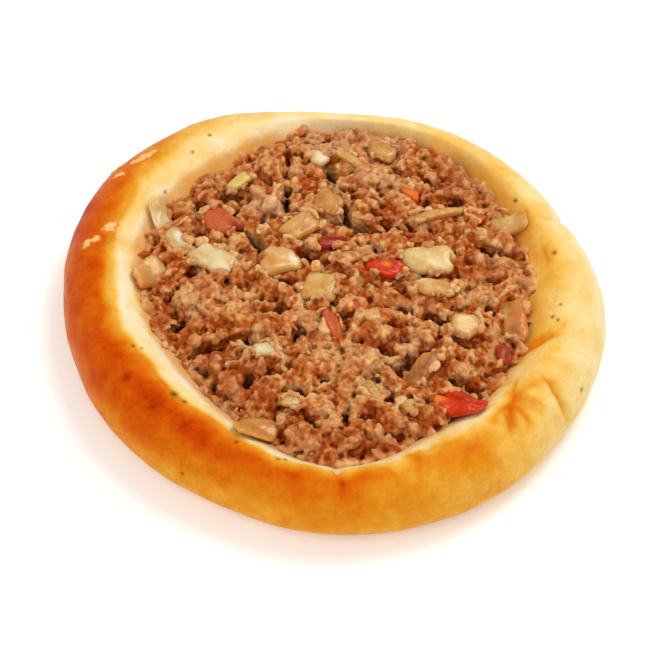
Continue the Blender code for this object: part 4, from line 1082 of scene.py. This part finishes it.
def slab(x, y, length, width, thickness, direction, roll, pitch, bend, seed, groove, fine):
    """A cut piece: a cupped slab with a rough polygon's outline, and where its points are on it."""
    draw = random.Random(seed)
    segments, rings = int(PIECE_SEGMENTS * fine), int(PIECE_RINGS * fine)
    theta = np.linspace(0, 2 * math.pi, segments, endpoint=False)
    sides = draw.choice((4, 4, 4, 5))
    total = np.zeros_like(theta)
    for k in range(sides):
        normal = 2 * math.pi * k / sides + draw.uniform(-0.28, 0.28)
        distance = draw.uniform(0.84, 1.0)
        total += np.clip(np.cos(theta - normal) / distance, 0, None) ** OUTLINE_POWER
    outline = total ** (-1 / OUTLINE_POWER)
    circle = np.column_stack([np.cos(theta), np.sin(theta), np.zeros_like(theta)])
    outline *= 1 + 0.16 * noise_at(circle * 1.6, 1.0, seed) + 0.06 * noise_at(circle * 5, 1.0, seed + 50)
    outline = np.minimum(outline, 1.32)
    share = np.sin(np.linspace(0, math.pi / 2, rings + 1)[1:])
    share = np.concatenate([share, share[-2::-1]])
    side = np.concatenate([np.ones(rings - 1), [0], -np.ones(rings - 1)])
    level = side * (1 - share**7) ** 0.5
    flat_x = np.concatenate([[0], (share[:, None] * outline * np.cos(theta)).ravel(), [0]])
    flat_y = np.concatenate([[0], (share[:, None] * outline * np.sin(theta)).ravel(), [0]])
    flat_z = np.concatenate([[1], np.repeat(level, segments), [-1]])
    edge = np.concatenate([[0], np.repeat(share, segments), [0]])

    half = np.array((length, width, thickness)) / 2
    top = np.clip(flat_z, 0, 1)
    local = np.column_stack([flat_x, flat_y, flat_z]) * half
    cup = bend * (flat_x**2 * half[0] + flat_y**2 * half[1]) / 2
    local[:, 2] += (0.3 * noise_at(local, 3.2, seed + 3) + 0.08 * noise_at(local, 1.1, seed + 4)) * np.abs(flat_z)
    local[:, 2] += 0.35 * noise_at(local * (1, 1, 0), 4.0, seed + 5) * edge**2
    local[:, 2] -= groove * np.exp(-(((local[:, 1] - 0.12 * width + 0.2 * local[:, 0]) / 0.7) ** 2)) * top
    lobe = np.exp(-(((local[:, 0] - 0.28 * half[0]) / 2.1) ** 2) - ((local[:, 1] + 0.35 * half[1]) / 1.8) ** 2)
    local[:, 2] += 2.2 * max(groove - 0.5, 0) * lobe * top
    turned = np.array(
        Matrix.Rotation(math.radians(direction), 3, "Z")
        @ Matrix.Rotation(math.radians(pitch), 3, "Y")
        @ Matrix.Rotation(math.radians(roll), 3, "X")
    )
    place = (x, y, float(heap_height(*polar(x, y))) + PIECE_PROUD - PIECE_SETTLE - thickness / 2)
    drop = cup[:, None] * (0, 0, 1)
    middle = (local * (1, 1, 0) - drop) @ turned.T + place
    points = (local - drop) @ turned.T + place
    radius, angle = polar(middle[:, 0], middle[:, 1])
    short = recess_height(radius, angle) + PIECE_DOUGH_GAP + thickness / 2 - middle[:, 2]
    points[:, 2] += (short + np.sqrt(short**2 + 0.4)) / 2

    end = len(points) - 1
    quads = ring_quads(len(share), segments, 1)
    faces = np.concatenate([
        cap(1, segments, 0), quads[:, [0, 3, 2]], quads[:, [0, 2, 1]], cap(end - segments, segments, end)[:, ::-1],
    ])
    return points, faces, np.column_stack([flat_x, flat_y, flat_z]), edge


def pieces():
    """Kind, name, row, tone, seed, groove and fineness of each piece and bit of onion and tomato."""
    for kind, rows, tones, grooves, seed, fine in KINDS:
        for number, (row, tone, groove) in enumerate(zip(rows, tones, grooves), start=1):
            yield kind, f"{kind}_{number:02d}", row, tone, seed + number, groove, fine


def spots_and_painted_light_on(name, flat):
    """How much paler, or below 0 more orange, a piece is at each point: partly its own colour, partly painted
    highlight and shade.
    """
    total = np.zeros(len(flat))
    for spot_x, spot_y, size, amount in SPOTS_AND_PAINTED_LIGHT.get(name, ()):
        total += amount * np.exp(-(((flat[:, 0] - spot_x) ** 2 + (flat[:, 1] - spot_y) ** 2) / size**2))
    return total


def make_pieces():
    """Every large piece as an object of its own with its name, and then the bits of each kind joined to one."""
    bits = {}
    for kind, name, row, tone, seed, groove, fine in pieces():
        points, faces, flat, edge = slab(*row, seed, groove, fine)
        values = {
            "edge": edge, "tone": np.full(len(edge), tone), "green": np.full(len(edge), GREENER.get(name, 0.0)),
            "spots_and_light": spots_and_painted_light_on(name, flat),
        }
        if kind.endswith("bits"):
            bits.setdefault(kind, []).append((points, faces, values))
        else:
            yield mesh_object(f"{name}_piece", points, values, faces), name
    for kind, parts in bits.items():
        points, faces, values = zip(*parts)
        starts = np.cumsum([0, *map(len, points[:-1])])
        joined = {key: np.concatenate([each[key] for each in values]) for key in values[0]}
        faces = np.concatenate([each + start for each, start in zip(faces, starts)])
        yield mesh_object(kind, np.vstack(points), joined, faces), kind


def onion_material():
    s = Shader(
        "onion", Roughness=0.34, Subsurface_Weight=0.85, Subsurface_Scale=0.004, Subsurface_Radius=(1.0, 0.75, 0.4),
        Coat_Weight=0.3, Coat_Roughness=0.14, Specular_IOR_Level=0.4, Specular_Tint=(1.0, 0.85, 0.65, 1),
    )
    s.ramp(
        s.sum(s.read("tone"), s.stir(1.1, 3.0, 3, 0.6)),
        (0.0, 228, 206, 162), (0.25, 214, 178, 114), (0.5, 202, 148, 76), (0.75, 186, 118, 46), (1.0, 140, 76, 28),
    )
    edge = s.sum(s.read("edge"), s.times(s.noise(1.4, 3, 0.6), 0.3))
    spots_and_light = s.sum(s.read("spots_and_light"), s.stir(0.4, 1.4))
    s.paint(
        (s.between(edge, 0.75, 1.2), 0.4, 202, 124, 52),
        (s.read("green"), 0.8, 216, 184, 84),
        # Pale spots: partly the onion's own paler parts, partly painted highlights. Orange spots: its own colour,
        # except on onion_14, where they are painted shade.
        (s.between(spots_and_light, 0.15, 0.9), 1.0, 238, 214, 182),
        (s.between(spots_and_light, -0.15, -0.9), 0.7, 204, 116, 36),
    )
    s.bump((s.noise(1.5, 3, 0.6), 0.5, 0.3))
    return s.material


def tomato_material():
    s = Shader(
        "tomato", Subsurface_Weight=0.12, Subsurface_Scale=0.001, Subsurface_Radius=(1.0, 0.2, 0.1),
        Coat_Roughness=0.08, Specular_IOR_Level=0.4, Specular_Tint=(1.0, 0.48, 0.28, 1),
    )
    tone, spots_and_light = s.read("tone"), s.read("spots_and_light")
    s.ramp(
        s.sum(tone, s.stir(1.2, 1.5, 4, 0.6)),
        (0.0, 216, 56, 4), (0.35, 184, 38, 5), (0.65, 184, 72, 30), (1.0, 190, 96, 52),
    )
    edge = s.sum(s.read("edge"), s.times(s.noise(1.2, 3, 0.6), 0.3))
    s.paint(
        (s.between(edge, 0.9, 1.25), 0.5, 176, 34, 12),
        # Orange spots are the tomato's own colour. Dark red spots are its own colour too, except along tomato_05's
        # edge, where they are painted shade.
        (s.between(spots_and_light, 0.2, 0.8), 1.0, 238, 128, 36),
        (s.between(spots_and_light, -0.2, -0.8), 0.85, 132, 28, 6),
    )
    s.bump((s.noise(1.2), 0.3, 0.3))
    s.set("Roughness", s.between(tone, 0.1, 0.5, 0.17, 0.34))
    s.set("Coat Weight", s.between(tone, 0.1, 0.5, 0.45, 0.1))
    return s.material


# ---------------------------------------------------------------- stage
def add_camera():
    elevation = math.radians(50)
    distance = 650 * METRES
    target = Vector((-1.01 - PLAN_CENTRE[0], -4.86 - PLAN_CENTRE[1], 8.0)) * METRES
    focal_pixels = 3139.5
    data = bpy.data.cameras.new("camera")
    data.sensor_fit = "HORIZONTAL"
    data.sensor_width = 36
    data.lens = focal_pixels / IMAGE_SIZE * data.sensor_width
    data.clip_start = 0.01
    camera = bpy.data.objects.new("camera", data)
    camera.location = target - distance * Vector((0, math.cos(elevation), -math.sin(elevation)))
    camera.rotation_euler = (math.pi / 2 - elevation, 0, 0)
    bpy.context.scene.collection.objects.link(camera)
    bpy.context.scene.camera = camera


def add_light(name, place, size, power):
    data = bpy.data.lights.new(name, "AREA")
    data.shape = "SQUARE"
    data.size = size
    data.energy = power
    data.color = (1, 0.98, 0.95)
    light = bpy.data.objects.new(name, data)
    light.location = place
    light.rotation_euler = (Vector((0, 0, 0.01)) - Vector(place)).to_track_quat("-Z", "Y").to_euler()
    bpy.context.scene.collection.objects.link(light)


def add_stage():
    mesh = bpy.data.meshes.new("floor")
    size = 3.0
    mesh.from_pydata([(-size, -size, 0), (size, -size, 0), (size, size, 0), (-size, size, 0)], [], [(0, 1, 2, 3)])
    floor = bpy.data.objects.new("floor", mesh)
    bpy.context.scene.collection.objects.link(floor)
    white = Shader(
        "floor", Roughness=0.8, Specular_IOR_Level=0.1, Base_Color=(0.92, 0.92, 0.92, 1),
        Emission_Color=(1, 1, 1, 1), Emission_Strength=0.16,
    )
    mesh.materials.append(white.material)

    world = bpy.data.worlds.new("world")
    world.use_nodes = True
    sky = world.node_tree.nodes["Background"].inputs
    sky["Color"].default_value, sky["Strength"].default_value = (1, 0.97, 0.92, 1), 0.6
    bpy.context.scene.world = world
    add_light("key", (0.30, 0.28, 0.68), 0.34, 2.85)
    add_light("fill", (-0.3, -0.6, 0.8), 0.8, 3.7)
    bpy.context.scene.view_settings.view_transform = "Standard"


def main():
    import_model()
    add_camera()
    add_stage()
    crust, beef = crust_material(), beef_material()
    vegetables = {"onion": onion_material(), "tomato": tomato_material()}
    keep(make_dough(), crust, "crust", "dough")
    first, *others = make_beef()
    keep(first, beef, "beef", "beef")
    for part in (*others, make_loose_crumbs()):
        keep(part, beef, "beef")
    for piece, name in make_pieces():
        slot = name.split("_")[0]
        nodes = () if name.endswith("bits") else (name,)
        keep(piece, vegetables[slot], slot, *nodes)


main()
